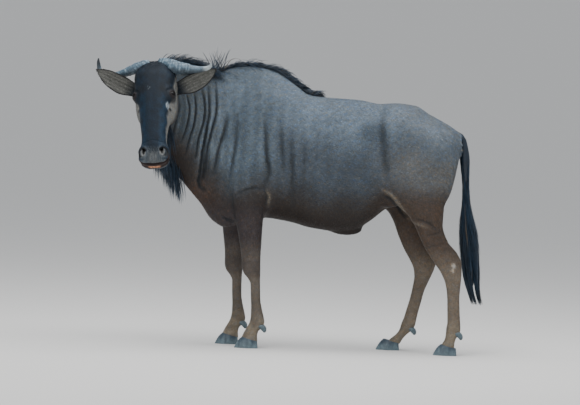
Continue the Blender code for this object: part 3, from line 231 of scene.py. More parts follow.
# Horns: middle line as left, out and down from the poll, and the half thickness
HORNS = {
    "left": (
        (0.022, -0.030, -0.005, 0.019), (0.057, -0.026, 0.011, 0.028), (0.086, -0.024, 0.028, 0.035),
        (0.114, -0.024, 0.037, 0.032), (0.151, -0.026, 0.041, 0.026), (0.182, -0.028, 0.047, 0.020),
        (0.212, -0.028, 0.050, 0.016), (0.240, -0.020, 0.052, 0.012), (0.265, -0.004, 0.055, 0.010),
        (0.281, 0.016, 0.054, 0.007), (0.287, 0.036, 0.050, 0.003),
    ),
    "right": (
        (-0.025, -0.030, 0.002, 0.019), (-0.049, -0.028, 0.009, 0.024), (-0.079, -0.030, 0.018, 0.026),
        (-0.115, -0.036, 0.028, 0.024), (-0.157, -0.050, 0.036, 0.020), (-0.201, -0.072, 0.038, 0.017),
        (-0.244, -0.092, 0.031, 0.014), (-0.276, -0.100, 0.014, 0.012), (-0.288, -0.092, -0.014, 0.010),
        (-0.289, -0.076, -0.039, 0.007), (-0.286, -0.062, -0.055, 0.003),
    ),
}
HORN_FLAT = 1.10
HORN_RINGS = 110
HORN_SIDES = 40

# Rings and lumps of the horns: height as a share of the thickness, and length
HORN_WRINKLE = (0.030, 0.011)
HORN_LUMP = (0.045, 0.018)
HORN_SEEDS = {"left": 11, "right": 12}

# Tail: middle line by height as x, and half thickness of the hair
TAIL_LINE = (
    (0.237, 0.956), (0.32, 0.929), (0.42, 0.914), (0.57, 0.898), (0.71, 0.882), (0.84, 0.873),
    (0.96, 0.864), (1.04, 0.853), (1.10, 0.826),
)
TAIL_HALF = (
    (0.237, 0.003), (0.32, 0.032), (0.42, 0.048), (0.57, 0.053), (0.68, 0.036), (0.76, 0.020),
    (0.84, 0.018), (0.96, 0.027), (1.04, 0.020), (1.10, 0.017),
)
TAIL_TOP = 1.075
TAIL_HAIR_TOP = 0.840
TAIL_FLAT = 0.85
TAIL_RINGS = 7
TAIL_LOCK = 2 * math.pi / 7
TAIL_STRANDS = 4400
TAIL_LENGTH = (0.16, 0.34)
TAIL_HAIR_HALF = (0.0013, 0.0027)
CORE_RINGS = 40
CORE_SIDES = 18
CORE_LOW = 0.34

# Feet
HOOF_LENGTH = 0.116
HOOF_HALF = 0.018
CORONET_FRONT = 0.054
CORONET_BACK = 0.034
CORONET_SETBACK = 0.038
CLAW_SPREAD = 0.0195
FOOT_OUT = 0.107
DEWCLAW_HEIGHT = 0.102
DEWCLAW_ASIDE = 0.018

# Dewclaws: places back and up, and half sizes along and across
DEWCLAW_SHAPE = (
    (-0.020, 0.008, 0.011, 0.010), (-0.004, 0.003, 0.014, 0.013), (0.005, -0.006, 0.0145, 0.0130),
    (0.008, -0.016, 0.0125, 0.0100), (0.007, -0.022, 0.0070, 0.0050),
)
DEWCLAW_RINGS = 17
DEWCLAW_SIDES = 20
DEWCLAW_LOW = 0.0245
CLAW_SIDES = 48
CLAW_ROWS = 16
CLAW_BACK = ((0, 0.0), (0.35, 0.009), (0.72, 0.022), (1, CORONET_SETBACK))
CLAW_WIDE = ((0, 1.0), (0.35, 1.04), (0.72, 1.02), (1, 0.95))
CLAW_RINGS = 34
HEEL_NARROW = 0.28
HEEL_INWARD = 0.004
LEG_TOES = {
    "foreleg_left": (-1, -0.230), "foreleg_right": (1, -0.328),
    "hindleg_left": (-1, 0.742), "hindleg_right": (1, 0.466),
}

# Hair: how high the mane rises along the spine, then where each kind grows, its length, way and thickness
MANE_RISE = (
    (-0.20, -0.025), (-0.12, 0.004), (0.0, 0.012), (0.20, 0.014), (0.36, 0.020), (0.42, 0.045),
    (0.60, 0.050), (0.68, 0.040), (0.76, -0.025),
)
MANE_SPAN = (-0.125, 0.735)
MANE_LENGTH = ((-0.125, 0.075), (0.05, 0.115), (0.30, 0.160), (0.45, 0.205), (0.72, 0.190))
MANE_STRANDS = 4600
MANE_ROW = (-0.004, 0.0070)
MANE_SHARES = (0.45, 1.1)
MANE_OVER = (0.94, 0.78, 0.15)
MANE_LEAN = 1.05
MANE_UP = 0.7
ARCH_STRANDS = 900
ARCH_SPAN = (0.50, 0.72)
ARCH_ROW = (0.012, 0.010)
ARCH_LENGTH = (0.10, 0.21)
ARCH_UP = (0.07, 0.03)
ARCH_HALF = (0.0012, 0.0022)
WISP_STRANDS = 34
WISP_STEPS = 7
WISP_AT = (0.372, 0.016)
WISP_TILTS = (0.32, -0.28)
WISP_LENGTH = (0.05, 0.125)
WISP_HALF = (0.0009, 0.0015)
BEARD_STRANDS = 1700
BEARD_SPAN = (0.575, 0.775)
JAW_HAIR_SPAN = (0.26, 0.42)
BEARD_LENGTH = 0.140
BEARD_SHARES = (0.45, 1.2)
BEARD_SPREAD = 0.018
BEARD_BACK = 0.30

# Fields are exact this far from the surface, and are sampled in blocks of this many steps
FIELD_MARGIN = 0.08
BLOCK = 8
BLOCK_REACH = 1.3


# Smooth curves and blends
def curve(pairs, at):
    """A smooth curve through the pairs that never overshoots them."""
    keys, values = np.array(pairs, float).T
    gaps = np.diff(keys)
    slopes = np.diff(values) / gaps
    bends = np.concatenate([slopes[:1], np.zeros(len(keys) - 2), slopes[-1:]])
    for i in range(1, len(keys) - 1):
        if slopes[i - 1] * slopes[i] > 0:
            bends[i] = 2 / (1 / slopes[i - 1] + 1 / slopes[i])
    at = np.clip(at, keys[0], keys[-1])
    i = np.clip(np.searchsorted(keys, at, side="right") - 1, 0, len(gaps) - 1)
    t = (at - keys[i]) / gaps[i]
    rise = values[i] * (1 + 2 * t) * (1 - t) ** 2 + values[i + 1] * t * t * (3 - 2 * t)
    return rise + gaps[i] * (bends[i] * t * (1 - t) ** 2 + bends[i + 1] * t * t * (t - 1))


def join(a, b, reach):
    """Smooth union of two fields."""
    near = np.maximum(reach - np.abs(a - b), 0) / reach
    return np.minimum(a, b) - near * near * reach / 4


def carve(a, b, reach):
    """The first field with the second taken out of it."""
    return -join(-a, b, reach)


def ellipsoid(points, centre, radii, lean=0.0):
    """Distance to an ellipsoid that leans in the side view: its top goes toward +X."""
    away = points - np.array(centre)
    c = math.cos(math.radians(lean))
    s = math.sin(math.radians(lean))
    away = np.stack([away[:, 0] * c - away[:, 2] * s, away[:, 1], away[:, 0] * s + away[:, 2] * c], 1)
    near = away / np.array(radii)
    size = np.sqrt((near * near).sum(1))
    slope = np.sqrt((near * near / np.array(radii) ** 2).sum(1))
    return size * (size - 1) / np.maximum(slope, 1e-9)


def swollen(shape, points, form, blend=join):
    """Blends an ellipsoid into a field or out of it, only where points are near enough to feel it."""
    centre, radii, lean, reach = form
    near = ((points - np.array(centre)) ** 2).sum(1) < (max(radii) + reach + FIELD_MARGIN) ** 2
    if near.any():
        shape[near] = blend(shape[near], ellipsoid(points[near], centre, radii, lean), reach)
    return shape


def rounded(across, half_across, up, half_up, power):
    """Distance to a superellipse."""
    a = np.abs(across) / half_across + 1e-9
    b = np.abs(up) / half_up + 1e-9
    size = (a**power + b**power) ** (1 / power)
    slope = np.hypot((a / size) ** (power - 1) / half_across, (b / size) ** (power - 1) / half_up)
    return (size - 1) / slope


# Trunk and neck
ARC_END = BEND_START + BEND_RADIUS * BEND_TURN
ARC_END_AT = np.array([-BEND_START - BEND_RADIUS * math.sin(BEND_TURN),
                       -BEND_RADIUS + BEND_RADIUS * math.cos(BEND_TURN)])
NECK_AHEAD = np.array([-math.cos(BEND_TURN), -math.sin(BEND_TURN)])
NECK_LEFT = np.array([math.sin(BEND_TURN), -math.cos(BEND_TURN)])


def on_spine(points):
    """Distance of each point forward along the spine's plan curve, and to the animal's left of it."""
    ahead = -points[:, 0]
    left = -points[:, 1]
    across = points[:, 1] + BEND_RADIUS
    turned = np.arctan2(ahead - BEND_START, across)
    in_arc = (ahead > BEND_START) & (turned < BEND_TURN) & (across > 0)
    in_neck = (ahead > BEND_START) & ~in_arc
    beyond = points[:, :2] - ARC_END_AT
    ahead = np.where(in_arc, BEND_START + BEND_RADIUS * turned, ahead)
    left = np.where(in_arc, BEND_RADIUS - np.hypot(points[:, 0] + BEND_START, across), left)
    ahead = np.where(in_neck, ARC_END + beyond @ NECK_AHEAD, ahead)
    left = np.where(in_neck, beyond @ NECK_LEFT, left)
    return ahead, left


def trunk(points):
    """The trunk and the neck."""
    ahead, left = on_spine(points)
    top = curve(BACK_LINE, ahead)
    low = curve(BELLY_LINE, ahead)
    middle = curve(WIDEST_AT, ahead)
    half = curve(HALF_WIDTH, ahead)
    up = points[:, 2] - middle
    above = up > 0
    tall = np.where(above, top - middle, middle - low)
    power = np.where(above, curve(UPPER_ROUND, ahead), curve(LOWER_ROUND, ahead))
    shape = rounded(left, half, up, tall, power)
    shape = np.maximum(shape, REAR_END - ahead)
    return np.maximum(shape, ahead - FRONT_END)


def leg(points, slices, side, stride):
    """One leg as level slices. A stride moves each slice along the body."""
    height = np.clip(points[:, 2], slices[0][0], slices[-1][0])
    table = np.array(slices)
    front, back, half, out = (curve(table[:, (0, i)], height) for i in (1, 2, 3, 4))
    step = curve(stride, height) if stride else 0.0
    along = points[:, 0] - (front + back) / 2 - step
    shape = rounded(along, (back - front) / 2, points[:, 1] - side * out, half, LEG_ROUND)
    shape = np.maximum(shape, slices[0][0] - points[:, 2])
    return np.maximum(shape, points[:, 2] - slices[-1][0])


def body(points):
    """Trunk, neck and legs, without the head."""
    shape = trunk(points)
    mirrored = points * np.array([1.0, -1.0, 1.0])
    for form in MUSCLES:
        for place in (points, mirrored):
            shape = swollen(shape, place, form)
    for place in (points, mirrored):
        shape = swollen(shape, place, FLANK_HOLLOW, carve)
    low = points[:, 2] < FORE_LEG[-1][0] + 2 * FIELD_MARGIN
    for slices, side, stride, middle in LEGS:
        near = low & (np.abs(points[:, 0] - middle) < LEG_REACH)
        if near.any():
            shape[near] = join(shape[near], leg(points[near], slices, side, stride), LEG_BLEND)
    return swollen(shape, points, SHEATH)


# Head
def face_axes():
    """Unit vectors to the animal's left, out of the face, and down the face."""
    forward = np.array([-math.sin(FACE_TURN), -math.cos(FACE_TURN), 0.0])
    left = np.array([math.cos(FACE_TURN), -math.sin(FACE_TURN), 0.0])
    down = math.sin(FACE_PITCH) * forward - math.cos(FACE_PITCH) * UP
    out = math.cos(FACE_PITCH) * forward + math.sin(FACE_PITCH) * UP
    rolled = math.cos(FACE_ROLL) * left - math.sin(FACE_ROLL) * down
    down = math.cos(FACE_ROLL) * down + math.sin(FACE_ROLL) * left
    return np.stack([rolled, out, down])


AXES = face_axes()


def from_head(place):
    """Model place of a point given as left, out and down from the poll."""
    return np.array(POLL) + np.asarray(place, float) @ AXES


def to_head(points):
    """Points as left, out and down from the poll."""
    return (points - np.array(POLL)) @ AXES.T


def head(points):
    """The head. Far from it, the distance to a ball round it."""
    shape = np.linalg.norm(points - from_head(HEAD_BALL[:3]), axis=1) - HEAD_BALL[3]
    near = shape < FIELD_MARGIN
    if near.any():
        shape[near] = near_head(to_head(points[near]))
    return shape


def near_head(local):
    """The head's own field, for points given as left, out and down from the poll."""
    left, out, down = local.T
    line = curve(FACE_LINE, down)
    jaw = curve(JAW_LINE, down)
    half = curve(FACE_HALF, down)
    middle = line * FACE_SHARES[0] + jaw * FACE_SHARES[1]
    above = out > middle
    tall = np.where(above, line - middle, middle - jaw)
    shape = rounded(left, half, out - middle, tall, np.where(above, *FACE_ROUND))
    shape = carve(shape, down + POLL_END, END_BLEND)
    shape = carve(shape, FACE_LENGTH - down, END_BLEND)
    mirrored = local * np.array([-1.0, 1.0, 1.0])
    for place in (local, mirrored):
        for form in HEAD_FORMS:
            shape = swollen(shape, place, form)
        shape = swollen(shape, place, NOSTRIL_HOLE, carve)
    return shape


def bare(points):
    """The whole animal's flesh without its hair."""
    return join(body(points), head(points), HEAD_BLEND)


# From a field to a mesh
def in_parts(field, points, size=150000):
    """A field's values, worked out in parts that fit in memory."""
    return np.concatenate([field(points[i : i + size]) for i in range(0, len(points), size)])


def untangle(values, step):
    """Keeps sheets apart: of two inside points across a grid square, the nearer goes outside."""
    found = True
    while found:
        found = False
        for axis in range(3):
            view = values.swapaxes(2, axis)
            inside = view < 0
            a, b, c, d = inside[:-1, :-1], inside[1:, :-1], inside[1:, 1:], inside[:-1, 1:]
            for x, y, z in np.argwhere((a == c) & (b == d) & (a != b)):
                pair = [(x, y, z), (x + 1, y + 1, z)] if a[x, y, z] else [(x + 1, y, z), (x, y + 1, z)]
                view[max(pair, key=lambda at: view[at])] = step * 0.02
                found = True


def sampled(field, low, high, step):
    """The field on a grid, exact only in the blocks that its surface may cross."""
    blocks = np.ceil((np.array(high) - low) / (BLOCK * step)).astype(int)
    corner = np.stack(np.meshgrid(*map(np.arange, blocks), indexing="ij"), -1).reshape(-1, 3)
    middle = in_parts(field, low + (corner * BLOCK + BLOCK // 2) * step).reshape(blocks)
    values = np.sign(middle).repeat(BLOCK, 0).repeat(BLOCK, 1).repeat(BLOCK, 2)
    values = np.pad(values, ((0, 1),) * 3, mode="edge")
    wanted = np.zeros(values.shape, bool)
    for x, y, z in np.argwhere(np.abs(middle) < BLOCK * step * BLOCK_REACH) * BLOCK:
        wanted[x : x + BLOCK + 1, y : y + BLOCK + 1, z : z + BLOCK + 1] = True
    values[wanted] = in_parts(field, low + np.argwhere(wanted) * step)
    for axis in range(3):
        values.swapaxes(0, axis)[[0, -1]] = step / 2
    untangle(values, step)
    return values


def surface(field, low, high, step):
    """Points and four-sided faces of the field's zero surface, one point in each cell it crosses."""
    low = np.array(low)
    values = sampled(field, low, high, step)
    inside = values < 0
    offsets = np.array([(x, y, z) for x in (0, 1) for y in (0, 1) for z in (0, 1)])
    i, j, k = np.array(inside.shape) - 1
    count = sum(inside[x : x + i, y : y + j, z : z + k].astype(int) for x, y, z in offsets)
    crossed = (count > 0) & (count < 8)
    cells = np.argwhere(crossed)
    number = np.full(crossed.shape, -1)
    number[crossed] = np.arange(len(cells))
    around = np.stack([values[tuple((cells + o).T)] for o in offsets], 1)
    total = np.zeros((len(cells), 3))
    hits = np.zeros(len(cells))
    for a in range(8):
        for axis in range(3):
            b = a + (4, 2, 1)[axis]
            if offsets[a][axis]:
                continue
            crossing = (around[:, a] < 0) != (around[:, b] < 0)
            t = np.where(crossing, around[:, a] / np.where(crossing, around[:, a] - around[:, b], 1), 0)
            place = offsets[a] + t[:, None] * (offsets[b] - offsets[a])
            total += place * crossing[:, None]
            hits += crossing
    points = low + (cells + total / hits[:, None]) * step
    faces = []
    for axis in range(3):
        one, two = np.eye(3, dtype=int)[[(axis + 1) % 3, (axis + 2) % 3]]
        cut = [slice(1, -1)] * 3
        cut[axis] = slice(0, -1)
        here = inside[tuple(cut)]
        cut[axis] = slice(1, None)
        there = inside[tuple(cut)]
        at = np.argwhere(here != there) + one + two
        outward = inside[tuple(at.T)]
        quad = np.stack([number[tuple(r.T)] for r in (at, at - one, at - one - two, at - two)], 1)
        faces.append(np.where(outward[:, None], quad, quad[:, ::-1]))
    return points, np.concatenate(faces)


def settled(field, points, step, rounds=3):
    """The points moved onto the field's zero surface."""
    small = step * 0.05
    for _ in range(rounds):
        value = in_parts(field, points)
        slope = np.stack([in_parts(field, points + small * unit) - value for unit in np.eye(3)], 1) / small
        move = value[:, None] * slope / np.maximum((slope * slope).sum(1), 0.05)[:, None]
        far = np.linalg.norm(move, axis=1, keepdims=True)
        points = points - move * np.minimum(1, 0.5 * step / np.maximum(far, 1e-12))
    return points


# Skin mesh: the coarsest spacing of its points, and how deep the skin lies under the coat
SKIN_STEP = 0.0068
COAT_DEPTH = 0.0045
FACE_DEPTH = 0.0020
SKIN_BOX = ((-0.86, -0.62, 0.02), (0.90, 0.30, 1.46))

# Spacing of the skin's points as a share of the coarsest
COARSE = 0.5
FINE = 0.25
FINEST = 0.12

# Creases of the skin: a route as distance forward along the spine and height, then depth and half width
CREASES = (
    (((0.581, 1.225), (0.565, 1.162), (0.584, 1.080), (0.609, 0.996)), 0.0060, 0.0075),
    (((0.521, 1.240), (0.518, 1.168), (0.534, 1.090), (0.558, 1.007), (0.565, 0.942)), 0.0065, 0.0075),
    (((0.465, 1.250), (0.455, 1.168), (0.471, 1.091), (0.501, 1.007), (0.503, 0.924)), 0.0070, 0.0080),
    (((0.426, 1.261), (0.429, 1.154), (0.454, 1.047), (0.471, 0.925), (0.466, 0.801), (0.429, 0.762)),
     0.0080, 0.0085),
    (((0.382, 1.286), (0.382, 1.170), (0.421, 1.048), (0.446, 0.945), (0.448, 0.820)), 0.0065, 0.0080),
    (((0.321, 1.143), (0.347, 1.050), (0.388, 0.948), (0.414, 0.849)), 0.0060, 0.0100),
    (((0.261, 1.136), (0.267, 1.015), (0.292, 0.892), (0.312, 0.784)), 0.0050, 0.0110),
    (((0.126, 1.141), (0.118, 1.054), (0.108, 0.938), (0.091, 0.861), (0.117, 0.792)), 0.0060, 0.0110),
    (((0.041, 1.071), (0.035, 0.999), (0.028, 0.927), (0.017, 0.840)), 0.0050, 0.0090),
    (((-0.010, 1.025), (-0.018, 0.929), (-0.025, 0.832), (-0.027, 0.709)), 0.0045, 0.0100),
    (((-0.073, 1.028), (-0.081, 0.941), (-0.080, 0.834)), 0.0025, 0.0110),
    (((-0.453, 1.172), (-0.450, 1.091), (-0.471, 0.931), (-0.488, 0.864)), 0.0040, 0.0180),
    (((-0.467, 0.775), (-0.511, 0.752), (-0.553, 0.700), (-0.590, 0.655)), 0.0060, 0.0080),
    (((-0.618, 0.668), (-0.686, 0.652), (-0.742, 0.615)), 0.0040, 0.0060),
    (((-0.694, 0.589), (-0.733, 0.595), (-0.762, 0.610)), 0.0030, 0.0055),
    (((-0.678, 0.527), (-0.721, 0.535), (-0.769, 0.547)), 0.0030, 0.0055),
    (((0.112, 0.790), (0.096, 0.744), (0.102, 0.700)), 0.0050, 0.0070),
    (((0.330, 0.640), (0.290, 0.622), (0.250, 0.616)), 0.0050, 0.0060),
    (((0.259, 0.742), (0.204, 0.774), (0.156, 0.786), (0.117, 0.777)), 0.0040, 0.0085),
    (((0.283, 0.771), (0.270, 0.697), (0.243, 0.600)), 0.0035, 0.0090),
    (((0.642, 1.201), (0.673, 1.074), (0.675, 0.971)), 0.0040, 0.0090),
)
CREASE_STEPS = 10

# Folds that stand out: the same, with height and half width
RIDGES = (
    (((-0.462, 0.800), (-0.505, 0.778), (-0.548, 0.728), (-0.585, 0.680)), 0.0060, 0.0090),
    (((0.103, 0.778), (0.086, 0.744), (0.092, 0.700)), 0.0050, 0.0075),
    (((-0.600, 0.655), (-0.650, 0.640), (-0.700, 0.622)), 0.0030, 0.0080),
)

# Folds along the mouth: depth, place across its line and half width
MOUTH_FOLDS = ((0.0080, 0.0, 0.0022), (-0.0022, 0.010, 0.006), (-0.0018, -0.009, 0.005))

# Nostrils: centres aside and down the face with half sizes, and their slit, raised rim and lobe
NOSTRIL_RING = ((0.051, 0.479), (0.0180, 0.0225))
NOSTRIL_LOBE = ((0.0460, 0.4805), (0.0125, 0.0175))
NOSTRIL_EDGE = 0.22
NOSTRIL_RIM = 1.42
NOSTRIL_BEHIND = (0.105, 0.085)
SLIT_DEPTH = 0.0070
LOBE_RISE = 0.0090
RIM_RISE = 0.0024

# Pit of the gland below the eye: centre aside, out and down with half sizes
GLAND_PIT = ((0.079, -0.006, 0.243), (0.006, 0.02, 0.010))
GLAND_DEPTH = 0.0035
BRIDGE_FOLD = (0.418, 0.004)
BRIDGE_DEPTH = 0.0012


def bell(value, place=0.0, half=1.0):
    """Goes from 1 at a place to 0 away from it."""
    return np.exp(-(((value - place) / half) ** 2))


def share_of(points, centre, radii):
    """Distance from a centre as a share of the half sizes."""
    return np.linalg.norm((points - np.array(centre)) / radii, axis=1)


def columns(keys, table, at):
    """Smooth curves through each column of a table."""
    return [curve(np.stack([keys, values], 1), at) for values in np.array(table).T]


def smooth(value, low, high):
    """Goes smoothly from 0 at low to 1 at high."""
    t = np.clip((value - low) / (high - low), 0, 1)
    return t * t * (3 - 2 * t)


def smooth_route(route):
    """A crease's route as closely spaced places."""
    return np.stack(columns(np.arange(len(route)), route, np.linspace(0, len(route) - 1, CREASE_STEPS)), 1)


def near_route(flat, route, half):
    """How strongly a crease along a route acts on each point of the side view, from 0 to 1."""
    route = smooth_route(route)
    strength = np.zeros(len(flat))
    near = ((flat > route.min(0) - 3 * half) & (flat < route.max(0) + 3 * half)).all(1)
    flat = flat[near]
    if not len(flat):
        return strength
    best = np.full(len(flat), 9.0)
    share = np.zeros(len(flat))
    for i in range(len(route) - 1):
        way = route[i + 1] - route[i]
        t = np.clip(((flat - route[i]) @ way) / (way @ way), 0, 1)
        gap = np.linalg.norm(flat - route[i] - t[:, None] * way, axis=1)
        share = np.where(gap < best, (i + t) / (len(route) - 1), share)
        best = np.minimum(best, gap)
    strength[near] = bell(best, 0, half) * np.sqrt(np.sin(np.pi * np.clip(share, 0.04, 0.96)))
    return strength


def side_view(points):
    """Points as distance forward along the spine and height."""
    return np.stack([on_spine(points)[0], points[:, 2]], 1)


def creases(points, wider=1.0, routes=CREASES):
    """Total depth of the creases at each point."""
    flat = side_view(points)
    total = np.zeros(len(points))
    for route, depth, half in routes:
        total += depth * near_route(flat, route, half * wider)
    return total


def eye_frame(side):
    """Centre of the eye and its directions: outward, toward the back corner, and down."""
    ahead = np.array(EYE_AHEAD) * FLIPS[side]
    ahead /= np.linalg.norm(ahead)
    down = UP - ahead * ahead[2]
    down /= np.linalg.norm(down)
    back = np.cross(down, ahead) * FLIPS[side][0]
    tilt = math.radians(LID_TILT)
    cosine, sine = math.cos(tilt), math.sin(tilt)
    back, down = back * cosine - down * sine, down * cosine + back * sine
    return from_head(np.array(EYE) * FLIPS[side]), ahead @ AXES, back @ AXES, down @ AXES


def with_lids(points):
    """The flesh with the closed lids over both eyes."""
    shape = bare(points)
    for side in SIDES:
        away = np.linalg.norm(points - eye_frame(side)[0], axis=1) - EYE_RADIUS - LID_THICK
        shape = join(shape, away, LID_BLEND)
    return shape


def open_eyes(points):
    """The lids pulled apart: the skin behind the opening goes to the back of the eyeball's front."""
    points = points.copy()
    for side in SIDES:
        centre, ahead, back, down = eye_frame(side)
        away = points - centre
        near = (np.linalg.norm(away, axis=1) < 2 * EYE_RADIUS) & (away @ ahead > 0)
        away = away[near]
        across = away @ back / EYE_RADIUS
        fall = away @ down / EYE_RADIUS
        arch = np.maximum(1 - (across / LID_WIDE) ** 2, 0)
        above = fall + LID_UP * arch**LID_ARCH
        below = LID_DOWN * arch - fall
        inside = np.minimum(np.minimum(above, below), (LID_WIDE - np.abs(across)) * LID_CORNER) * EYE_RADIUS
        reach = np.linalg.norm(away, axis=1)
        turned = away @ ahead / reach
        slope = SOCKET_SLOPE * smooth(turned, 0.60, -0.05)
        allowed = EYE_RADIUS + LID_THICK + slope + SOCKET_DEPTH * smooth(turned, 0.20, -0.10)
        reach = join(reach, allowed, SOCKET_BLEND)
        rim = bell(inside, *LID_RIM) * LID_RIM_HEIGHT
        wanted = reach + rim + (EYE_RADIUS - EYE_BACK - reach) * smooth(inside, *LID_EDGE)
        points[near] = centre + away * (wanted / np.linalg.norm(away, axis=1))[:, None]
    return points


def mouth_line(local):
    """Distance from the line of the mouth, and how strongly it shows, from its corner forward."""
    left, out, down = local.T
    gap = out - MOUTH_OUT + MOUTH_SLOPE * (FACE_LENGTH - down) - MOUTH_CURL * left**2
    return gap / math.hypot(1, MOUTH_SLOPE), smooth(down, MOUTH_CORNER - 0.004, MOUTH_CORNER + 0.012)


def oval(side, down, form):
    """Distance from the centre of an oval on the face as a share of its half sizes."""
    (across, along), (half_across, half_along) = form
    return np.hypot((side - across) / half_across, (down - along) / half_along)


def nostril_parts(side, down):
    """The ring round a nostril, the dark slit along its top and outer side, and the lobe inside it."""
    ring = oval(side, down, NOSTRIL_RING)
    slit = bell(ring, 1.0, NOSTRIL_EDGE) * smooth(down - 0.9 * (side - NOSTRIL_RING[0][0]), 0.499, 0.480)
    return ring, slit, oval(side, down, NOSTRIL_LOBE)


def head_share(points, low=-0.03, high=0.01):
    """Goes from 0 on the neck to 1 on the head."""
    return smooth(body(points) - head(points), low, high)


def relief(points):
    """How far the skin lies inside the flesh's own surface."""
    local = to_head(points)
    left, out, down = local.T
    side = np.abs(left)
    on_head = head_share(points, -0.02, 0.02)
    depth = COAT_DEPTH + (FACE_DEPTH - COAT_DEPTH) * np.maximum(on_head, smooth(points[:, 2], 0.62, 0.40))
    folded = 1 + 0.45 * smooth(-points[:, 0], 0.20, 0.40)
    depth = depth + creases(points) * folded * (1 - on_head) - creases(points, 1.0, RIDGES)
    muzzle = on_head * smooth(down, 0.40, 0.45)
    depth = depth * (1 - muzzle * 0.8)
    gap, shows = mouth_line(local)
    shows = shows * muzzle
    for deep, place, half in MOUTH_FOLDS:
        depth = depth + deep * shows * bell(gap, place, half)
    pit = share_of(np.stack([side, out, down], 1), *GLAND_PIT)
    depth = depth + GLAND_DEPTH * on_head * bell(pit)
    behind = curve(FACE_LINE, down) - out
    ring, slit, lobe = nostril_parts(side, down)
    front = on_head * smooth(behind, *NOSTRIL_BEHIND)
    depth = depth + (SLIT_DEPTH * slit - LOBE_RISE * bell(lobe)) * front
    depth = depth - RIM_RISE * front * bell(ring, NOSTRIL_RIM, NOSTRIL_EDGE)
    bridge = bell(down - BRIDGE_FOLD[0] - 0.25 * side, 0, BRIDGE_FOLD[1])
    return depth + BRIDGE_DEPTH * on_head * bridge * smooth(-behind, -0.04, -0.01)


def spacing(points):
    """How close together the points of the skin must be, as a share of the coarsest spacing."""
    local = to_head(points)
    down = local[:, 2]
    in_head = np.abs(head(points)) < 0.02
    wanted = np.full(len(points), 1.0)
    flat = side_view(points)
    for route, _, half in CREASES + RIDGES:
        wanted = np.where(near_route(flat, route, half * 1.8) > 0.03, COARSE, wanted)
    wanted = np.where(in_head, COARSE, wanted)
    wanted = np.where(in_head & (down > 0.40), FINE, wanted)
    for side in SIDES:
        centre, ahead, _, _ = eye_frame(side)
        away = points - centre
        gap = np.linalg.norm(away, axis=1)
        wanted = np.where((gap < 0.042) & (away @ ahead > 0), FINE, wanted)
        wanted = np.where((gap < 0.032) & (away @ ahead > 0.004), FINEST, wanted)
    gap, shows = mouth_line(local)
    lips = in_head & (shows > 0) & (np.abs(gap) < 0.008) & (down > 0.43)
    return np.where(lips, FINEST, wanted)


def edge_keys(faces, count):
    """A number for each edge of each face, the same from both of its sides."""
    ends = np.stack([faces, np.roll(faces, -1, 1)], 2)
    return ends.min(2) * count + ends.max(2)


def refined(points, quads, others, chosen):
    """Splits the chosen four-sided faces in four. A face beside them gains the new corners on its edges."""
    count = len(points)
    split = quads[chosen]
    rest = quads[~chosen]
    keys = edge_keys(split, count)
    edges, where = np.unique(keys, return_inverse=True)
    middles = count + where.reshape(keys.shape)
    centres = count + len(edges) + np.arange(len(split))
    places = [points, (points[edges // count] + points[edges % count]) / 2, points[split].mean(1)]
    made = [np.stack([split[:, i], middles[:, i], centres, middles[:, i - 1]], 1) for i in range(4)]
    keys = edge_keys(rest, count)
    at = np.minimum(np.searchsorted(edges, keys), len(edges) - 1)
    beside = (edges[at] == keys).any(1)
    number = dict(zip(edges.tolist(), range(count, count + len(edges))))
    grown = []
    for face in [*rest[beside].tolist(), *others]:
        ring = []
        for a, b in zip(face, face[1:] + face[:1]):
            ring.append(a)
            middle = number.get(min(a, b) * count + max(a, b))
            if middle is not None:
                ring.append(middle)
        grown.append(ring)
    return np.concatenate(places), np.concatenate([rest[~beside], *made]), grown


def slope_of(field, points, small=0.001):
    """Unit direction out of a field's surface."""
    here = in_parts(field, points)
    rises = np.stack([in_parts(field, points + small * unit) - here for unit in np.eye(3)], 1)
    return rises / np.maximum(np.linalg.norm(rises, axis=1, keepdims=True), 1e-12)


def skin_mesh():
    """Points and faces of the skin, finest at the eyes and the mouth."""
    points, quads = surface(bare, *SKIN_BOX, SKIN_STEP)
    points = settled(bare, points, SKIN_STEP, 2)
    others = []
    for level in range(3):
        wanted = spacing(points[quads].mean(1))
        points, quads, others = refined(points, quads, others, wanted < 0.75 * 0.5**level)
    points = settled(with_lids, points, SKIN_STEP)
    points = points - slope_of(with_lids, points) * in_parts(relief, points)[:, None]
    return open_eyes(points), quads, others


# Colours as seen on a screen, from 0 to 255
def shade(red, green, blue):
    """Linear colour of screen values."""
    parts = np.array([red, green, blue]) / 255
    return np.where(parts <= 0.04045, parts / 12.92, ((parts + 0.055) / 1.055) ** 2.4)


BACK = shade(91, 104, 116)
FLANK = shade(64, 72, 80)
LOW_FLANK = shade(48, 43, 40)
BELLY = shade(30, 21, 17)
CROUP = shade(96, 106, 115)
THIGH = shade(91, 93, 94)
SHOULDER = shade(79, 91, 101)
NECK = shade(64, 72, 78)
GASKIN = shade(70, 58, 49)
LEG = shade(92, 84, 75)
FOREARM = shade(54, 47, 47)
BRISKET = shade(82, 64, 54)
# Painted highlight on the raised folds of the skin
FOLD_HIGHLIGHT = shade(142, 132, 116)
# Painted shade in the creases of the skin
CREASE_SHADE = shade(22, 27, 32)
FACE = shade(8, 24, 37)
# Painted sheen of the dark face
FACE_PAINTED_SHEEN = shade(15, 45, 67)
CHEEK_COAT = shade(122, 122, 118)
JAW_COAT = shade(50, 50, 52)
MUZZLE = shade(76, 82, 86)
PASTERN = shade(122, 112, 96)
HOCK = shade(104, 94, 82)
MUZZLE_PALE = shade(104, 104, 102)
LID_BROWN = shade(27, 20, 21)
# Painted highlight on the tip of the left horn
HORN_TIP_HIGHLIGHT = shade(178, 188, 192)
# Painted shade in the groove of the mouth
MOUTH_SHADE = shade(34, 20, 19)
LIP_PALE = shade(198, 140, 106)
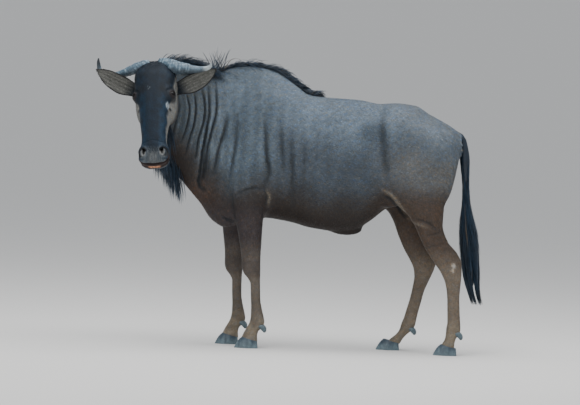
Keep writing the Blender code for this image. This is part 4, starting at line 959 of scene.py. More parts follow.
# Painted shade in the openings of the nostrils and of the gland
HOLE_SHADE = shade(12, 12, 14)
GLAND_PALE = shade(176, 188, 196)
SCAR = shade(176, 170, 160)
HAIR = shade(28, 45, 61)
HAIR_WARM = shade(84, 76, 66)
EAR_INNER = shade(92, 92, 88)
EAR_BACK = shade(84, 84, 82)
EAR_RIM = shade(34, 33, 34)
HORN_PALE = shade(129, 149, 163)
HORN_MID = shade(68, 90, 105)
HORN_DARK = shade(40, 46, 52)
HOOF_PALE = shade(88, 106, 114)
HOOF_DARK = shade(44, 60, 72)
IRIS = shade(17, 11, 10)
PUPIL = shade(8, 8, 10)
EYE_RING = shade(40, 30, 27)

# Places of the markings, and of the painted shade round the eye, along the furrow and in the gland's
# opening: centre and half sizes, on the head as aside, out and down the face
THIGH_LOW = 0.66
SCAR_PLACE = ((0.822, -0.150, 0.430), (0.014, 0.03, 0.026))
EYE_SHADOW = (EYE, (0.034, 0.046, 0.033))
BROW = ((0.046, 0.020), (0.148, 0.032))
FURROW_SHADE = (0.010, 0.0045)
BROW_SPOTS = ((-0.020, 0.146), (-0.012, 0.152), (-0.017, 0.158))
GLAND_SPOT = ((0.0685, 0.006, 0.238), (0.008, 0.03, 0.022))
GLAND_HOLE = ((0.079, -0.007, 0.250), (0.007, 0.03, 0.010))


def mixed(one, other, share):
    """One colour with a share of another."""
    return one + (other - one) * np.asarray(share)[:, None]


def waves(points, size, seed):
    """Soft seeded variation between about -1 and 1."""
    chance = np.random.default_rng(seed)
    total = np.zeros(len(points))
    for _ in range(WAVES):
        way = chance.normal(size=3)
        way *= 2 * math.pi / (size * chance.uniform(0.6, 1.5) * np.linalg.norm(way))
        total += np.sin(points @ way + chance.uniform(0, 2 * math.pi))
    return total / 3


def level_of(points, ahead, rear):
    """Height as a share, from 0 at the belly to 1 at the back."""
    low = curve(BELLY_LINE, ahead)
    low = low + (np.minimum(low, THIGH_LOW) - low) * rear
    return (points[:, 2] - low) / (curve(BACK_LINE, ahead) - low) + 0.03 * waves(points, 0.25, 1)


def trunk_colours(level, rear, fore, neck):
    """Colours of the trunk and the neck, from the belly up."""
    colour = mixed(BELLY, LOW_FLANK, smooth(level, 0.02, 0.22))
    side = mixed(FLANK, SHOULDER, fore)
    side = mixed(side, THIGH, rear * smooth(level, 0.75, 0.45))
    side = mixed(side, NECK, neck)
    colour = mixed(colour, side, smooth(level, 0.14, 0.42))
    upper = mixed(BACK, CROUP, rear)
    upper = mixed(upper, mixed(SHOULDER, NECK, neck), np.maximum(fore * 0.75, neck))
    return mixed(colour, upper, smooth(level, 0.45, 0.88))


def leg_colours(points, colour, rear, fore, neck):
    """The colours of the legs and the brisket over those of the trunk."""
    height = points[:, 2]
    colour = mixed(colour, BRISKET, neck * smooth(height, 0.86, 0.70) * 0.55)
    colour = mixed(colour, GASKIN, rear * smooth(height, 0.84, 0.68))
    colour = mixed(colour, FOREARM, smooth(height, 0.76, 0.62) * (1 - rear) * fore)
    colour = mixed(colour, mixed(LEG, HOCK, rear), smooth(height, 0.56, 0.38))
    dust = smooth(height, 0.20, 0.09) * np.clip(0.75 + 0.35 * waves(points, 0.05, 22), 0, 1)
    colour = mixed(colour, PASTERN, dust)
    ahead = on_spine(points)[0]
    knee = smooth(height, 0.33, 0.37) * smooth(height, 0.46, 0.42) * smooth(ahead, 0.0, 0.1)
    return mixed(colour, FOREARM, 0.5 * knee)


def fold_shading_and_marks(points, colour, level, neck):
    """Painted shade in the creases with a painted highlight along their edges, a painted highlight on the
    raised folds, bands, uneven tone and the scar.
    """
    ahead = on_spine(points)[0]
    # Painted shade in the creases, and a painted highlight on the skin along their edges, strongest on the
    # neck
    dark = np.minimum(creases(points, 1.08) / (0.0055 - 0.0015 * neck), 1.3)
    beside = np.clip(creases(points, 2.5) / 0.0055 - 1.1 * dark, 0, 1)
    colour = colour * (1 + (0.15 + 0.95 * neck) * beside)[:, None]
    colour = mixed(colour, CREASE_SHADE, np.minimum(dark * 0.90, 0.95))
    # Painted highlight on the raised folds
    pale = np.minimum(creases(points, 0.9, RIDGES) / 0.006, 1)
    colour = mixed(colour, FOLD_HIGHLIGHT, pale * 0.55)
    bands = np.sin(ahead * 2 * math.pi / 0.058 + 1.6 * waves(points * (1, 1, 0.25), 0.3, 4))
    brindle = smooth(ahead, -0.30, 0.05) * smooth(level, 0.10, 0.35) * smooth(level, 1.0, 0.70)
    colour = colour * (1 + 0.12 * brindle * bands)[:, None]
    colour = colour * (1 + 0.07 * waves(points, 0.16, 2) + 0.05 * waves(points, 0.05, 3))[:, None]
    scar = share_of(points, *SCAR_PLACE) + 0.5 * waves(points, 0.025, 21)
    return mixed(colour, SCAR, 0.70 * smooth(scar, 0.95, 0.35))


def markings_and_painted_light(points):
    """Colour of the coat, and of the skin under it, with painted shade, highlights and sheen."""
    ahead = on_spine(points)[0]
    rear = smooth(-ahead, 0.36, 0.62)
    fore = smooth(ahead, -0.02, 0.16)
    neck = smooth(ahead, 0.28, 0.46)
    level = level_of(points, ahead, rear)
    colour = leg_colours(points, trunk_colours(level, rear, fore, neck), rear, fore, neck)
    colour = fold_shading_and_marks(points, colour, level, neck)
    return np.clip(mixed(colour, face_markings_and_painted_light(points), head_share(points)), DARKEST, 1)


def mask_colours(points, local, down, behind):
    """The streaked pale cheek, and the dark front of the face with a painted sheen in streaks."""
    face = mixed(CHEEK_COAT, JAW_COAT, smooth(behind, 0.09, 0.15))
    face = face * (1 + 0.26 * waves(local * (2.0, 2.0, 0.5), 0.016, 23))[:, None]
    edge = 0.040 + 0.030 * smooth(down, 0.22, 0.05) + 0.004 * waves(points, 0.03, 5)
    streaks = 0.6 * waves(local * (1.8, 1.0, 0.7), 0.034, 6)
    streaks = streaks + 0.5 * waves(local * (3.0, 1.0, 0.6), 0.009, 17)
    # Painted sheen: streaks of brighter blue over the dark face
    blue = mixed(FACE, FACE_PAINTED_SHEEN, np.clip(0.5 + 0.5 * streaks, 0, 1))
    blue = blue * (0.55 + 0.45 * smooth(down, 0.13, 0.26))[:, None]
    return mixed(face, blue, smooth(behind, edge + 0.012, edge - 0.008))


def eye_colours(local, face):
    """Painted shade round the eye, the brow and its spots, painted shade along a furrow, and the gland
    below the eye with painted shade in its opening.
    """
    left, out, down = local.T
    side = np.abs(left)
    mirrored = np.stack([side, out, down], 1)
    # Painted shade round the eye
    face = mixed(face, FACE * 0.6, 0.8 * smooth(share_of(mirrored, *EYE_SHADOW), 1.35, 0.9))
    brow = np.exp(-(((side - BROW[0][0]) / BROW[0][1]) ** 2) - ((down - BROW[1][0]) / BROW[1][1]) ** 2)
    face = mixed(face, FACE * 0.35, 0.75 * brow)
    # Painted shade along a furrow from the middle of the forehead toward the brow
    furrow = bell(side - FURROW_SHADE[0] - 0.5 * (down - 0.120), 0, FURROW_SHADE[1]) * smooth(down, 0.10, 0.12)
    face = mixed(face, FACE * 0.4, 0.7 * furrow * smooth(down, 0.175, 0.155))
    for across, along in BROW_SPOTS:
        gap = np.hypot(left - across, down - along)
        face = mixed(face, GLAND_PALE, 0.45 * smooth(gap, 0.0036, 0.0012))
    rim = np.linalg.norm(mirrored - np.array(EYE), axis=1) - EYE_RADIUS
    face = mixed(face, LID_BROWN, 0.85 * smooth(rim, 0.0065, 0.0035))
    patch = np.clip(0.45 + 0.60 * waves(local * (2, 1, 0.6), 0.012, 9), 0, 1)
    face = mixed(face, GLAND_PALE, patch * smooth(share_of(mirrored, *GLAND_SPOT), 1.1, 0.5) * (left > 0))
    # Painted shade in the opening of the gland
    return mixed(face, HOLE_SHADE, 0.95 * smooth(share_of(mirrored, *GLAND_HOLE), 1.25, 0.7))


def nose_colours(local, face, side, down, behind):
    """The grey pad between the nostrils, and the nostrils themselves with painted shade in their openings.
    """
    pad = smooth(down, 0.440, 0.462) * smooth(side, 0.070, 0.056) * smooth(behind, 0.06, 0.03)
    grain = 0.80 + 0.30 * waves(local * (2.5, 1.0, 0.5), 0.020, 15)
    face = mixed(face, MUZZLE, np.clip(grain * pad, 0, 1))
    middle = smooth(side, 0.030, 0.012) * smooth(down, 0.460, 0.480) * smooth(behind, 0.06, 0.04)
    face = mixed(face, MUZZLE_PALE, np.clip(0.40 * middle * grain, 0, 1))
    shadow = smooth(down, 0.494, 0.462) * smooth(side, 0.042, 0.020) * smooth(behind, 0.06, 0.04)
    shadow = (0.75 + 0.5 * waves(local * (2, 1, 1), 0.010, 18)) * shadow
    face = mixed(face, FACE * 0.8, np.clip(shadow, 0, 0.9))
    ring, slit, lobe = nostril_parts(side, down)
    front = smooth(behind, *NOSTRIL_BEHIND)
    rim = smooth(np.abs(ring - NOSTRIL_RIM), 0.26, 0.12) * smooth(side, 0.040, 0.055)
    face = mixed(face, FACE * 1.6, 0.7 * front * rim)
    # Painted shade inside the ring of the nostril
    face = mixed(face, HOLE_SHADE, 0.30 * smooth(ring, 1.02, 0.86) * front)
    flesh = smooth(lobe, 1.25, 0.80) * np.clip(0.75 + 0.35 * waves(local, 0.008, 19), 0, 1)
    face = mixed(face, MUZZLE_PALE, flesh * front)
    # Painted shade in the slit of the nostril
    return mixed(face, HOLE_SHADE, np.clip(1.25 * slit, 0, 1) * front)


def lip_colours(points, local, face, side, down):
    """Painted shade along the line of the mouth, and the pink of the lower lip."""
    gap, shows = mouth_line(local)
    muzzle = shows * smooth(down, 0.44, 0.47)
    # Painted shade along the groove between the lips
    face = mixed(face, MOUTH_SHADE, muzzle * smooth(gap, 0.010, 0.003) * smooth(gap, -0.034, -0.026))
    pink = smooth(gap, -0.011, -0.015) * smooth(gap, -0.030, -0.023) * smooth(side, 0.036, 0.018)
    return mixed(face, LIP_PALE, np.clip(0.60 + 0.25 * waves(points, 0.010, 7), 0, 1) * muzzle * pink)


def face_markings_and_painted_light(points):
    """The colours of the head, with painted sheen and shade."""
    local = to_head(points)
    left, out, down = local.T
    side = np.abs(left)
    behind = curve(FACE_LINE, down) - out
    face = mask_colours(points, local, down, behind)
    face = eye_colours(local, face)
    face = nose_colours(local, face, side, down, behind)
    return lip_colours(points, local, face, side, down)


# Meshes
def mesh_object(name, points, *groups):
    """A shaded mesh from points and groups of faces, in the frame's own place."""
    groups = [np.asarray(g) for g in groups if len(g)]
    mesh = bpy.data.meshes.new(name)
    corners = np.concatenate([g.ravel() for g in groups]).astype(np.int32)
    sizes = np.concatenate([np.full(len(g), g.shape[1]) for g in groups])
    starts = np.concatenate([[0], np.cumsum(sizes)[:-1]]).astype(np.int32)
    mesh.vertices.add(len(points))
    mesh.vertices.foreach_set("co", (np.asarray(points) + SHIFT).astype(np.float32).ravel())
    mesh.loops.add(len(corners))
    mesh.loops.foreach_set("vertex_index", corners)
    mesh.polygons.add(len(sizes))
    mesh.polygons.foreach_set("loop_start", starts)
    mesh.update(calc_edges=True)
    mesh.shade_smooth()
    made = bpy.data.objects.new(name, mesh)
    bpy.context.scene.collection.objects.link(made)
    return made


def by_size(faces):
    """Groups faces by their number of corners."""
    sizes = sorted({len(face) for face in faces})
    return [np.array([face for face in faces if len(face) == size]) for size in sizes]


def paint(piece, colours):
    """Gives each point of a piece its colour."""
    layer = piece.data.color_attributes.new("markings_and_painted_light", "FLOAT_COLOR", "POINT")
    values = np.concatenate([np.clip(colours, DARKEST, 1), np.ones((len(colours), 1))], 1)
    layer.data.foreach_set("color", values.astype(np.float32).ravel())


# The coat: patch of a tuft on the flat layout, height below which legs are laid out apart, and the tufts
PATCH = 0.003
LEG_TOP = 0.58
COAT_PIECES = 5
COAT_TUFTS = 62000
COAT_HUE = np.array((1.0, 0.15, -0.95))
TUFT_LENGTH = 0.0105
TUFT_WIDTH = 0.0021
TUFT_LIFT = 0.0017
TUFT_ROOT = 0.0008
TUFT_CORNERS = ((0, 0), (1, 0), (0.9, 0.5), (0.1, 0.5), (0.5, 1))


def turn_of(across, up):
    """Direction round an axis as a share of a turn."""
    return np.arctan2(across, up) / (2 * math.pi) + 0.5


def unwrapped(points):
    """Place of each point on a flat layout: trunk above, head in the middle and legs below."""
    ahead, left = on_spine(points)
    turn = turn_of(left, points[:, 2] - curve(WIDEST_AT, ahead))
    flat = np.stack([0.02 + 0.96 * (ahead + 0.87) / 1.70, 0.50 + 0.48 * turn], 1)
    local = to_head(points)
    in_head = head(points) < body(points)
    turn = turn_of(local[:, 0], local[:, 1] + 0.06)
    on_head = np.stack([0.02 + 0.96 * turn, 0.26 + 0.22 * (local[:, 2] + 0.05) / 0.62], 1)
    flat = np.where(in_head[:, None], on_head, flat)
    low = points[:, 2] < LEG_TOP
    for i, (slices, side, stride, _) in enumerate(LEGS):
        near = low & (np.sign(points[:, 1]) == side) & ((points[:, 0] > 0.2) == (slices is HIND_LEG))
        step = curve(stride, points[:, 2]) if stride else 0.0
        front, back = (curve(np.array(slices)[:, (0, k)], points[:, 2]) for k in (1, 2))
        turn = turn_of(points[:, 1] - side * 0.11, points[:, 0] - ((front + back) / 2 + step))
        on_leg = np.stack([0.02 + 0.24 * i + 0.22 * turn, 0.02 + 0.21 * points[:, 2] / LEG_TOP], 1)
        flat = np.where(near[:, None], on_leg, flat)
    return np.clip(flat, 0.005, 0.99)


def bake_map(piece, roots, corner_places):
    """The flat layout: each tuft is a small patch at its root's place."""
    flat = unwrapped(roots)[:, None, :] + np.asarray(corner_places)[None] * PATCH
    flat = flat.reshape(-1, 2)
    loops = np.empty(len(piece.data.loops), np.int32)
    piece.data.loops.foreach_get("vertex_index", loops)
    layer = piece.data.uv_layers.new(name="OFBake")
    layer.uv.foreach_set("vector", flat[loops].astype(np.float32).ravel())


def backward(points):
    """Unit vector toward the tail along the spine's plan curve."""
    turned = np.clip((on_spine(points)[0] - BEND_START) / BEND_RADIUS, 0, BEND_TURN)
    return np.stack([np.cos(turned), np.sin(turned), np.zeros(len(points))], 1)


def flattened(ways, normals):
    """Directions turned into the surface's own plane."""
    ways = ways - normals * (ways * normals).sum(1, keepdims=True)
    return ways / np.maximum(np.linalg.norm(ways, axis=1, keepdims=True), 1e-9)


def lie(points, normals):
    """Direction in which the coat lies."""
    ahead = on_spine(points)[0]
    steep = 0.35 + 2.6 * smooth(ahead, 0.18, 0.42) + 0.5 * smooth(-ahead, 0.50, 0.75)
    ways = backward(points) - UP * steep[:, None]
    on_leg = smooth(points[:, 2], 0.80, 0.60) * smooth(np.abs(points[:, 1]), 0.03, 0.06)
    on_leg = np.maximum(on_leg, smooth(points[:, 2], 0.56, 0.50))
    ways = mixed(ways, np.array([0.12, 0.0, -1.0]), on_leg)
    local = to_head(points)
    out_share = smooth(local[:, 1], -0.10, 0.0)[:, None]
    on_face = AXES[2] + AXES[1] * -0.35 * (1 - out_share) + np.sign(local[:, :1]) * AXES[0] * 0.15
    share = head_share(points)
    return flattened(ways * (1 - share)[:, None] + on_face * share[:, None], normals)


def surface_of(piece, weight):
    """A mesh's triangles as corner places and normals, and their areas times a weight."""
    mesh = piece.data
    mesh.calc_loop_triangles()
    triangles = np.empty(len(mesh.loop_triangles) * 3, np.int32)
    mesh.loop_triangles.foreach_get("vertices", triangles)
    triangles = triangles.reshape(-1, 3)
    points = np.empty(len(mesh.vertices) * 3, np.float32)
    mesh.vertices.foreach_get("co", points)
    points = points.reshape(-1, 3).astype(float) - SHIFT
    normals = np.empty(len(mesh.vertices) * 3, np.float32)
    mesh.vertices.foreach_get("normal", normals)
    ends = points[triangles]
    size = np.linalg.norm(np.cross(ends[:, 1] - ends[:, 0], ends[:, 2] - ends[:, 0]), axis=1)
    size = size * in_parts(weight, points)[triangles[:, 0]]
    return ends, normals.reshape(-1, 3)[triangles], size / size.sum()


def scattered(ends, normals, share, count, chance):
    """Random places on a surface with their normals."""
    picked = np.searchsorted(np.cumsum(share), chance.random(count) * 0.999999)
    mix = chance.dirichlet((1, 1, 1), count)[:, :, None]
    normal = (normals[picked] * mix).sum(1)
    return (ends[picked] * mix).sum(1), normal / np.linalg.norm(normal, axis=1, keepdims=True)


def tufts(name, roots, normals, ways, lengths, widths, lifts, colours):
    """Flat tapered tufts of short hair: five corners and two faces each."""
    side = np.cross(ways, normals) * widths[:, None] / 2
    ahead = ways * lengths[:, None]
    root = roots - normals * TUFT_ROOT
    middle = roots + ahead * 0.5 + normals * (lifts * 0.62)[:, None]
    tip = roots + ahead + normals * lifts[:, None]
    points = np.stack([root - side, root + side, middle + side * 0.8, middle - side * 0.8, tip], 1)
    base = np.arange(len(roots))[:, None] * 5
    faces = [base + np.array(corners) for corners in ((0, 1, 2, 3), (3, 2, 4))]
    made = mesh_object(name, points.reshape(-1, 3), *faces)
    paint(made, np.repeat(colours, 5, 0))
    bake_map(made, roots, TUFT_CORNERS)
    return made


def coat_size(points):
    """Size of the tufts as a share of the body's: smallest on the face and the feet."""
    down = to_head(points)[:, 2]
    share = head_share(points)
    size = 1 - 0.45 * share * smooth(down, 0.02, 0.12)
    size = size * (1 - 0.25 * smooth(down, 0.34, 0.44) * share)
    return size * (1 - 0.40 * smooth(points[:, 2], 0.62, 0.35))


def bald(points):
    """Goes to 0 where no coat grows: the lips, the nose, the eyes and the soles."""
    left, out, down = to_head(points).T
    behind = curve(FACE_LINE, down) - out
    nose = smooth(down, 0.44, 0.46) * smooth(np.abs(left), 0.070, 0.058) * smooth(behind, 0.10, 0.07)
    clear = 1 - nose * (np.abs(head(points)) < 0.03)
    for side in SIDES:
        gap = np.linalg.norm(points - eye_frame(side)[0], axis=1)
        clear = clear * smooth(gap, EYE_RADIUS + 0.004, EYE_RADIUS + 0.010)
    return clear * (points[:, 2] > 0.048) * (~in_hoof(points))


def in_hoof(points):
    """Points of the leg that the hooves hide."""
    hidden = np.zeros(len(points), bool)
    for side, toe in LEG_TOES.values():
        run = (points[:, 0] - toe - CORONET_SETBACK) / (HOOF_LENGTH - CORONET_SETBACK)
        top = CORONET_FRONT + (CORONET_BACK - CORONET_FRONT) * run
        near = (np.abs(points[:, 1] - side * FOOT_OUT) < 0.06) & (run > -1) & (run < 1.5)
        hidden |= near & (points[:, 2] < top)
    return hidden


def coat_density(points):
    """How closely the tufts grow."""
    return bald(points) / coat_size(points) ** 1.4


def coat(skin, chance):
    """The short coat as tufts over the whole skin, in pieces."""
    ends, end_normals, share = surface_of(skin, coat_density)
    for number in range(COAT_PIECES):
        roots, normals = scattered(ends, end_normals, share, COAT_TUFTS, chance)
        size = coat_size(roots)
        ways = lie(roots, normals)
        turned = np.cross(normals, ways) * chance.normal(0, 0.16, len(roots))[:, None]
        ways = flattened(ways + turned, normals)
        lengths = TUFT_LENGTH * size * chance.uniform(0.75, 1.25, len(roots))
        widths = TUFT_WIDTH * size * chance.uniform(0.7, 1.3, len(roots))
        lifts = TUFT_LIFT * size * chance.uniform(0.5, 1.3, len(roots))
        light = np.exp(chance.normal(0, 0.28, len(roots)))
        warm = 0.16 * waves(roots, 0.020, 24) + chance.normal(0, 0.10, len(roots))
        colours = markings_and_painted_light(roots) * light[:, None] * np.exp(warm[:, None] * COAT_HUE)
        yield tufts("coat_%d" % (number + 1), roots, normals, ways, lengths, widths, lifts, colours)


def unit(vectors):
    """The vectors' directions."""
    return vectors / np.linalg.norm(vectors, axis=-1, keepdims=True)


# Long hair
STRAND_CORNERS = ((0, 0), (1, 0), (0.5, 0.15))
STRAND_TAPER = ((0.0, 0.7), (0.25, 1.0), (0.6, 0.85), (1.0, 0.25))
STRAND_FLAT = 0.35
STRAND_HALF = (0.0012, 0.0024)
FALL_STEPS = 12
ROOT_DEPTH = 0.006
HAIR_WEIGHT = 10


def strands(name, paths, halves, asides, colours):
    """Closed tapered strands of three sides that follow paths."""
    count, rings = paths.shape[:2]
    ahead = np.gradient(paths, axis=1)
    ahead /= np.maximum(np.linalg.norm(ahead, axis=2, keepdims=True), 1e-9)
    across = asides[:, None, :] - ahead * (asides[:, None, :] * ahead).sum(2, keepdims=True)
    across /= np.maximum(np.linalg.norm(across, axis=2, keepdims=True), 1e-9)
    other = np.cross(ahead, across)
    taper = curve(STRAND_TAPER, np.linspace(0, 1, rings))[None, :, None] * halves[:, None, None]
    edges = []
    for angle in (0.5, 2.5, 4.5):
        turn = angle * math.pi / 3
        edges.append(paths + across * taper * math.cos(turn) + other * taper * STRAND_FLAT * math.sin(turn))
    walls = np.stack(edges, 2)[:, :-1].reshape(count, -1, 3)
    points = np.concatenate([walls, paths[:, -1:]], 1)
    tip = 3 * (rings - 1)
    around = ((0, 1), (1, 2), (2, 0))
    starts = range(0, tip - 3, 3)
    sides = [(i + a, i + b, i + 3 + b, i + 3 + a) for i in starts for a, b in around]
    ends = [(tip - 3 + a, tip - 3 + b, tip) for a, b in around] + [(2, 1, 0)]
    base = np.arange(count)[:, None, None] * (tip + 1)
    made = mesh_object(name, points.reshape(-1, 3), (base + np.array(sides)).reshape(-1, 4),
                       (base + np.array(ends)).reshape(-1, 3))
    tone = 0.75 + 0.5 * np.append(np.repeat(np.linspace(0, 1, rings - 1), 3), 1.0)
    paint(made, (colours[:, None, :] * tone[None, :, None]).reshape(-1, 3))
    corners = [(x, y + 0.8 * s) for s in np.linspace(0, 1, rings - 1) for x, y in STRAND_CORNERS]
    bake_map(made, paths[:, 1], corners + [(0.5, 1.0)])
    return made


def fallen(roots, ways, lengths, lifts, weights):
    """Paths of hair that set out along the given ways, bend down and come to rest on the flesh."""
    step = lengths[:, None] / FALL_STEPS
    at = roots
    paths = [roots - ways * ROOT_DEPTH]
    for _ in range(FALL_STEPS):
        before = at
        at = at + ways * step
        inside = np.maximum(lifts - in_parts(bare, at), 0)
        push = inside > 0
        if push.any():
            at = at.copy()
            at[push] += slope_of(bare, at[push]) * inside[push, None]
        ways = (at - before) / np.maximum(np.linalg.norm(at - before, axis=1, keepdims=True), 1e-9)
        ways[:, 2] -= weights * HAIR_WEIGHT * step[:, 0]
        ways = unit(ways)
        paths.append(at)
    return np.stack(paths, 1)[:, ::2]


def spine_places(ahead, left, height):
    """Places given by distance along the spine, to the left of it, and height."""
    turned = np.clip((ahead - BEND_START) / BEND_RADIUS, 0, BEND_TURN)
    sine = np.sin(turned)
    cosine = np.cos(turned)
    along = -np.minimum(ahead, BEND_START) - BEND_RADIUS * sine
    base = np.stack([along, BEND_RADIUS * cosine - BEND_RADIUS], 1)
    base = base + np.maximum(ahead - ARC_END, 0)[:, None] * NECK_AHEAD
    base = base + left[:, None] * np.stack([sine, -cosine], 1)
    return np.concatenate([base, height[:, None]], 1)


def crest_roots(ahead, left):
    """Roots on the crest of the neck."""
    return on_flesh(spine_places(ahead, left, curve(BACK_LINE, ahead)))


def hair_colours(count, chance, warm=0.04):
    """A colour for each strand, a few of them warm."""
    colours = np.repeat(HAIR[None], count, 0) * np.exp(chance.normal(0, 0.30, count))[:, None]
    return np.where(chance.random(count)[:, None] < warm, HAIR_WARM, colours)


def on_flesh(points):
    """Points moved straight onto the bare flesh."""
    for _ in range(4):
        points = points - slope_of(bare, points) * in_parts(bare, points)[:, None]
    return points


def mane(chance):
    """Long hair on the crest, from between the horns to behind the withers, swept back and to the right."""
    count = MANE_STRANDS
    ahead = MANE_SPAN[0] + (MANE_SPAN[1] - MANE_SPAN[0]) * chance.random(count) ** 0.9
    roots = crest_roots(ahead, chance.normal(*MANE_ROW, count))
    back = backward(roots)
    right = np.cross(-back, UP)
    clump = waves(spine_places(ahead, ahead * 0, ahead * 0), 0.050, 8)
    over = np.where(chance.random(count) < MANE_OVER[0], *MANE_OVER[1:])
    over = over + 0.08 * clump + chance.normal(0, 0.05, count)
    lean = MANE_LEAN + 0.10 * clump + chance.normal(0, 0.06, count)
    ways = UP * (MANE_UP * curve(MANE_RISE, ahead))[:, None] + right * over[:, None] + back * lean[:, None]
    lengths = curve(MANE_LENGTH, ahead) * chance.uniform(*MANE_SHARES, count)
    lifts = 0.003 + 0.005 * chance.random(count) ** 1.5
    paths = fallen(roots, unit(ways), lengths, lifts, chance.uniform(0.9, 1.5, count) * (1 + 1.5 * over))
    halves = chance.uniform(*STRAND_HALF, count)
    asides = back + right * chance.normal(0, 0.3, count)[:, None]
    return strands("mane", paths, halves, asides, hair_colours(count, chance))


def forelock_arch(chance):
    """The hair that arches from the poll behind the left horn."""
    count = ARCH_STRANDS
    ahead = chance.uniform(*ARCH_SPAN, count)
    roots = crest_roots(ahead, chance.normal(*ARCH_ROW, count))
    back = backward(roots)
    ways = unit(back + UP * chance.normal(*ARCH_UP, count)[:, None])
    lengths = chance.uniform(*ARCH_LENGTH, count)
    lifts = 0.003 + 0.011 * chance.random(count)
    paths = fallen(roots, ways, lengths, lifts, chance.uniform(0.7, 0.9, count))
    halves = chance.uniform(*ARCH_HALF, count)
    return strands("mane_arch", paths, halves, back, hair_colours(count, chance, 0.07))


def wisps(chance):
    """Thin hairs that stand up where the crest dips behind the head."""
    count = WISP_STRANDS
    ahead = chance.normal(*WISP_AT, count)
    roots = crest_roots(ahead, chance.normal(0.0, 0.006, count))
    forward = -backward(roots)
    tilt = np.where(chance.random(count) < 0.5, *WISP_TILTS) + chance.normal(0, 0.12, count)
    lengths = chance.uniform(*WISP_LENGTH, count)
    paths = []
    for t in np.linspace(0, 1, WISP_STEPS):
        lean = lengths * (tilt * t + 0.25 * tilt * t * t)
        paths.append(roots + UP * (lengths * t)[:, None] + forward * lean[:, None])
    halves = chance.uniform(*WISP_HALF, count)
    return strands("mane_wisps", np.stack(paths, 1), halves, forward, hair_colours(count, chance))


def beard(chance):
    """Long hair that hangs from the throat and from under the jaw."""
    count = BEARD_STRANDS // 2
    ahead = chance.uniform(*BEARD_SPAN, count)
    throat = spine_places(ahead, chance.normal(0, BEARD_SPREAD, count), curve(BELLY_LINE, ahead))
    down = chance.uniform(*JAW_HAIR_SPAN, count)
    jaw = np.stack([chance.normal(0, BEARD_SPREAD, count), curve(JAW_LINE, down), down], 1)
    roots = on_flesh(np.concatenate([throat, from_head(jaw)]))
    count = len(roots)
    ways = [BEARD_BACK + chance.normal(0, 0.14, count), chance.normal(0, 0.12, count), np.full(count, -1.0)]
    lengths = BEARD_LENGTH * chance.uniform(*BEARD_SHARES, count)
    paths = fallen(roots, unit(np.stack(ways, 1)), lengths, np.full(count, 0.003), np.full(count, 0.8))
    halves = chance.uniform(*STRAND_HALF, count)
    asides = np.stack([chance.normal(0, 1, count), chance.normal(0, 1, count), np.zeros(count)], 1)
    return strands("beard", paths, halves, asides, hair_colours(count, chance, 0.01))


def tail_axis(height):
    """The middle of the tail and its half thickness at each height."""
    return curve(TAIL_LINE, height), curve(TAIL_HALF, height)


def tail_hair(chance):
    """Long hair that hangs round the tail and ends ragged."""
    count = TAIL_STRANDS
    share = chance.random(count) ** 0.85
    top = 1.055 - 0.60 * share
    length = chance.uniform(*TAIL_LENGTH, count) * smooth(top, 1.15, 0.85)
    length = length + 0.12 + 0.10 * smooth(top, 0.95, 0.7)
    length = np.minimum(length, top - TAIL_LINE[0][0] - 0.004 - 0.13 * chance.random(count) ** 1.4)
    angle = chance.uniform(0, 2 * math.pi, count)
    radius = np.sqrt(chance.random(count)) * 0.55 + 0.45
    nearest = np.round(angle / TAIL_LOCK) * TAIL_LOCK
    paths = []
    for t in np.linspace(0, 1, TAIL_RINGS):
        height = top - length * t
        x, half = tail_axis(height)
        half = np.maximum(half, 0.014 + 0.014 * smooth(height, 0.45, 0.30))
        reach = half * (0.45 + 0.6 * t**0.7) * radius
        wander = 0.004 * np.sin(6 * t + angle * 3)
        lock = angle + (nearest - angle) * 0.85 * smooth(height, 0.55, 0.30)
        aside = TAIL_FLAT * reach * np.sin(lock)
        paths.append(np.stack([x + reach * np.cos(lock) + wander, aside, height], 1))
    asides = np.stack([-np.sin(angle), np.cos(angle), np.zeros(count)], 1)
    halves = chance.uniform(*TAIL_HAIR_HALF, count)
    return strands("tail_hair", np.stack(paths, 1), halves, asides, hair_colours(count, chance, 0.01))


def ring_quads(rings, sides):
    """Four-sided faces between rings of points."""
    quads = []
    for i in range(rings - 1):
        for k in range(sides):
            j = (k + 1) % sides
            quads.append((i * sides + k, i * sides + j, (i + 1) * sides + j, (i + 1) * sides + k))
    return np.array(quads)


def tube(path, half_a, half_b, aside, sides):
    """A closed tube along a path with elliptical sections, ending in a point."""
    ahead = unit(np.gradient(path, axis=0))
    across = unit(aside - ahead * (ahead @ aside)[:, None])
    other = np.cross(ahead, across)
    angles = np.arange(sides) * 2 * math.pi / sides
    a, b = (half[:, None] if half.ndim == 1 else half for half in (half_a, half_b))
    points = path[:, None] + across[:, None] * (a * np.cos(angles))[..., None]
    points = points + other[:, None] * (b * np.sin(angles))[..., None]
    points = np.concatenate([points.reshape(-1, 3), path[-1:] + ahead[-1:] * 0.002, path[:1]])
    tip = len(path) * sides
    ends = [(tip - sides + k, tip - sides + (k + 1) % sides, tip) for k in range(sides)]
    ends += [((k + 1) % sides, k, tip + 1) for k in range(sides)]
    return points, ring_quads(len(path), sides), np.array(ends)


def tail_core():
    """The dock, and the mass inside the long hair, both painted darker than the hair as painted shade
    between its strands.
    """
    heights = np.linspace(TAIL_TOP + 0.010, CORE_LOW, CORE_RINGS)
    x, half = tail_axis(heights)
    reach = half * np.where(heights < TAIL_HAIR_TOP, 0.62, 0.9)
    reach = reach * (1 - 0.7 * smooth(heights, 0.42, CORE_LOW))
    path = np.stack([x - 0.03 * smooth(heights, 1.06, 1.085), np.zeros(CORE_RINGS), heights], 1)
    points, quads, ends = tube(path, reach, reach * TAIL_FLAT, np.array([1.0, 0, 0]), CORE_SIDES)
    made = mesh_object("tail_core", points, quads, ends)
    # Painted shade: the core is darker than the hair round it
    paint(made, np.repeat(HAIR[None] * 0.6, len(points), 0))
    return made


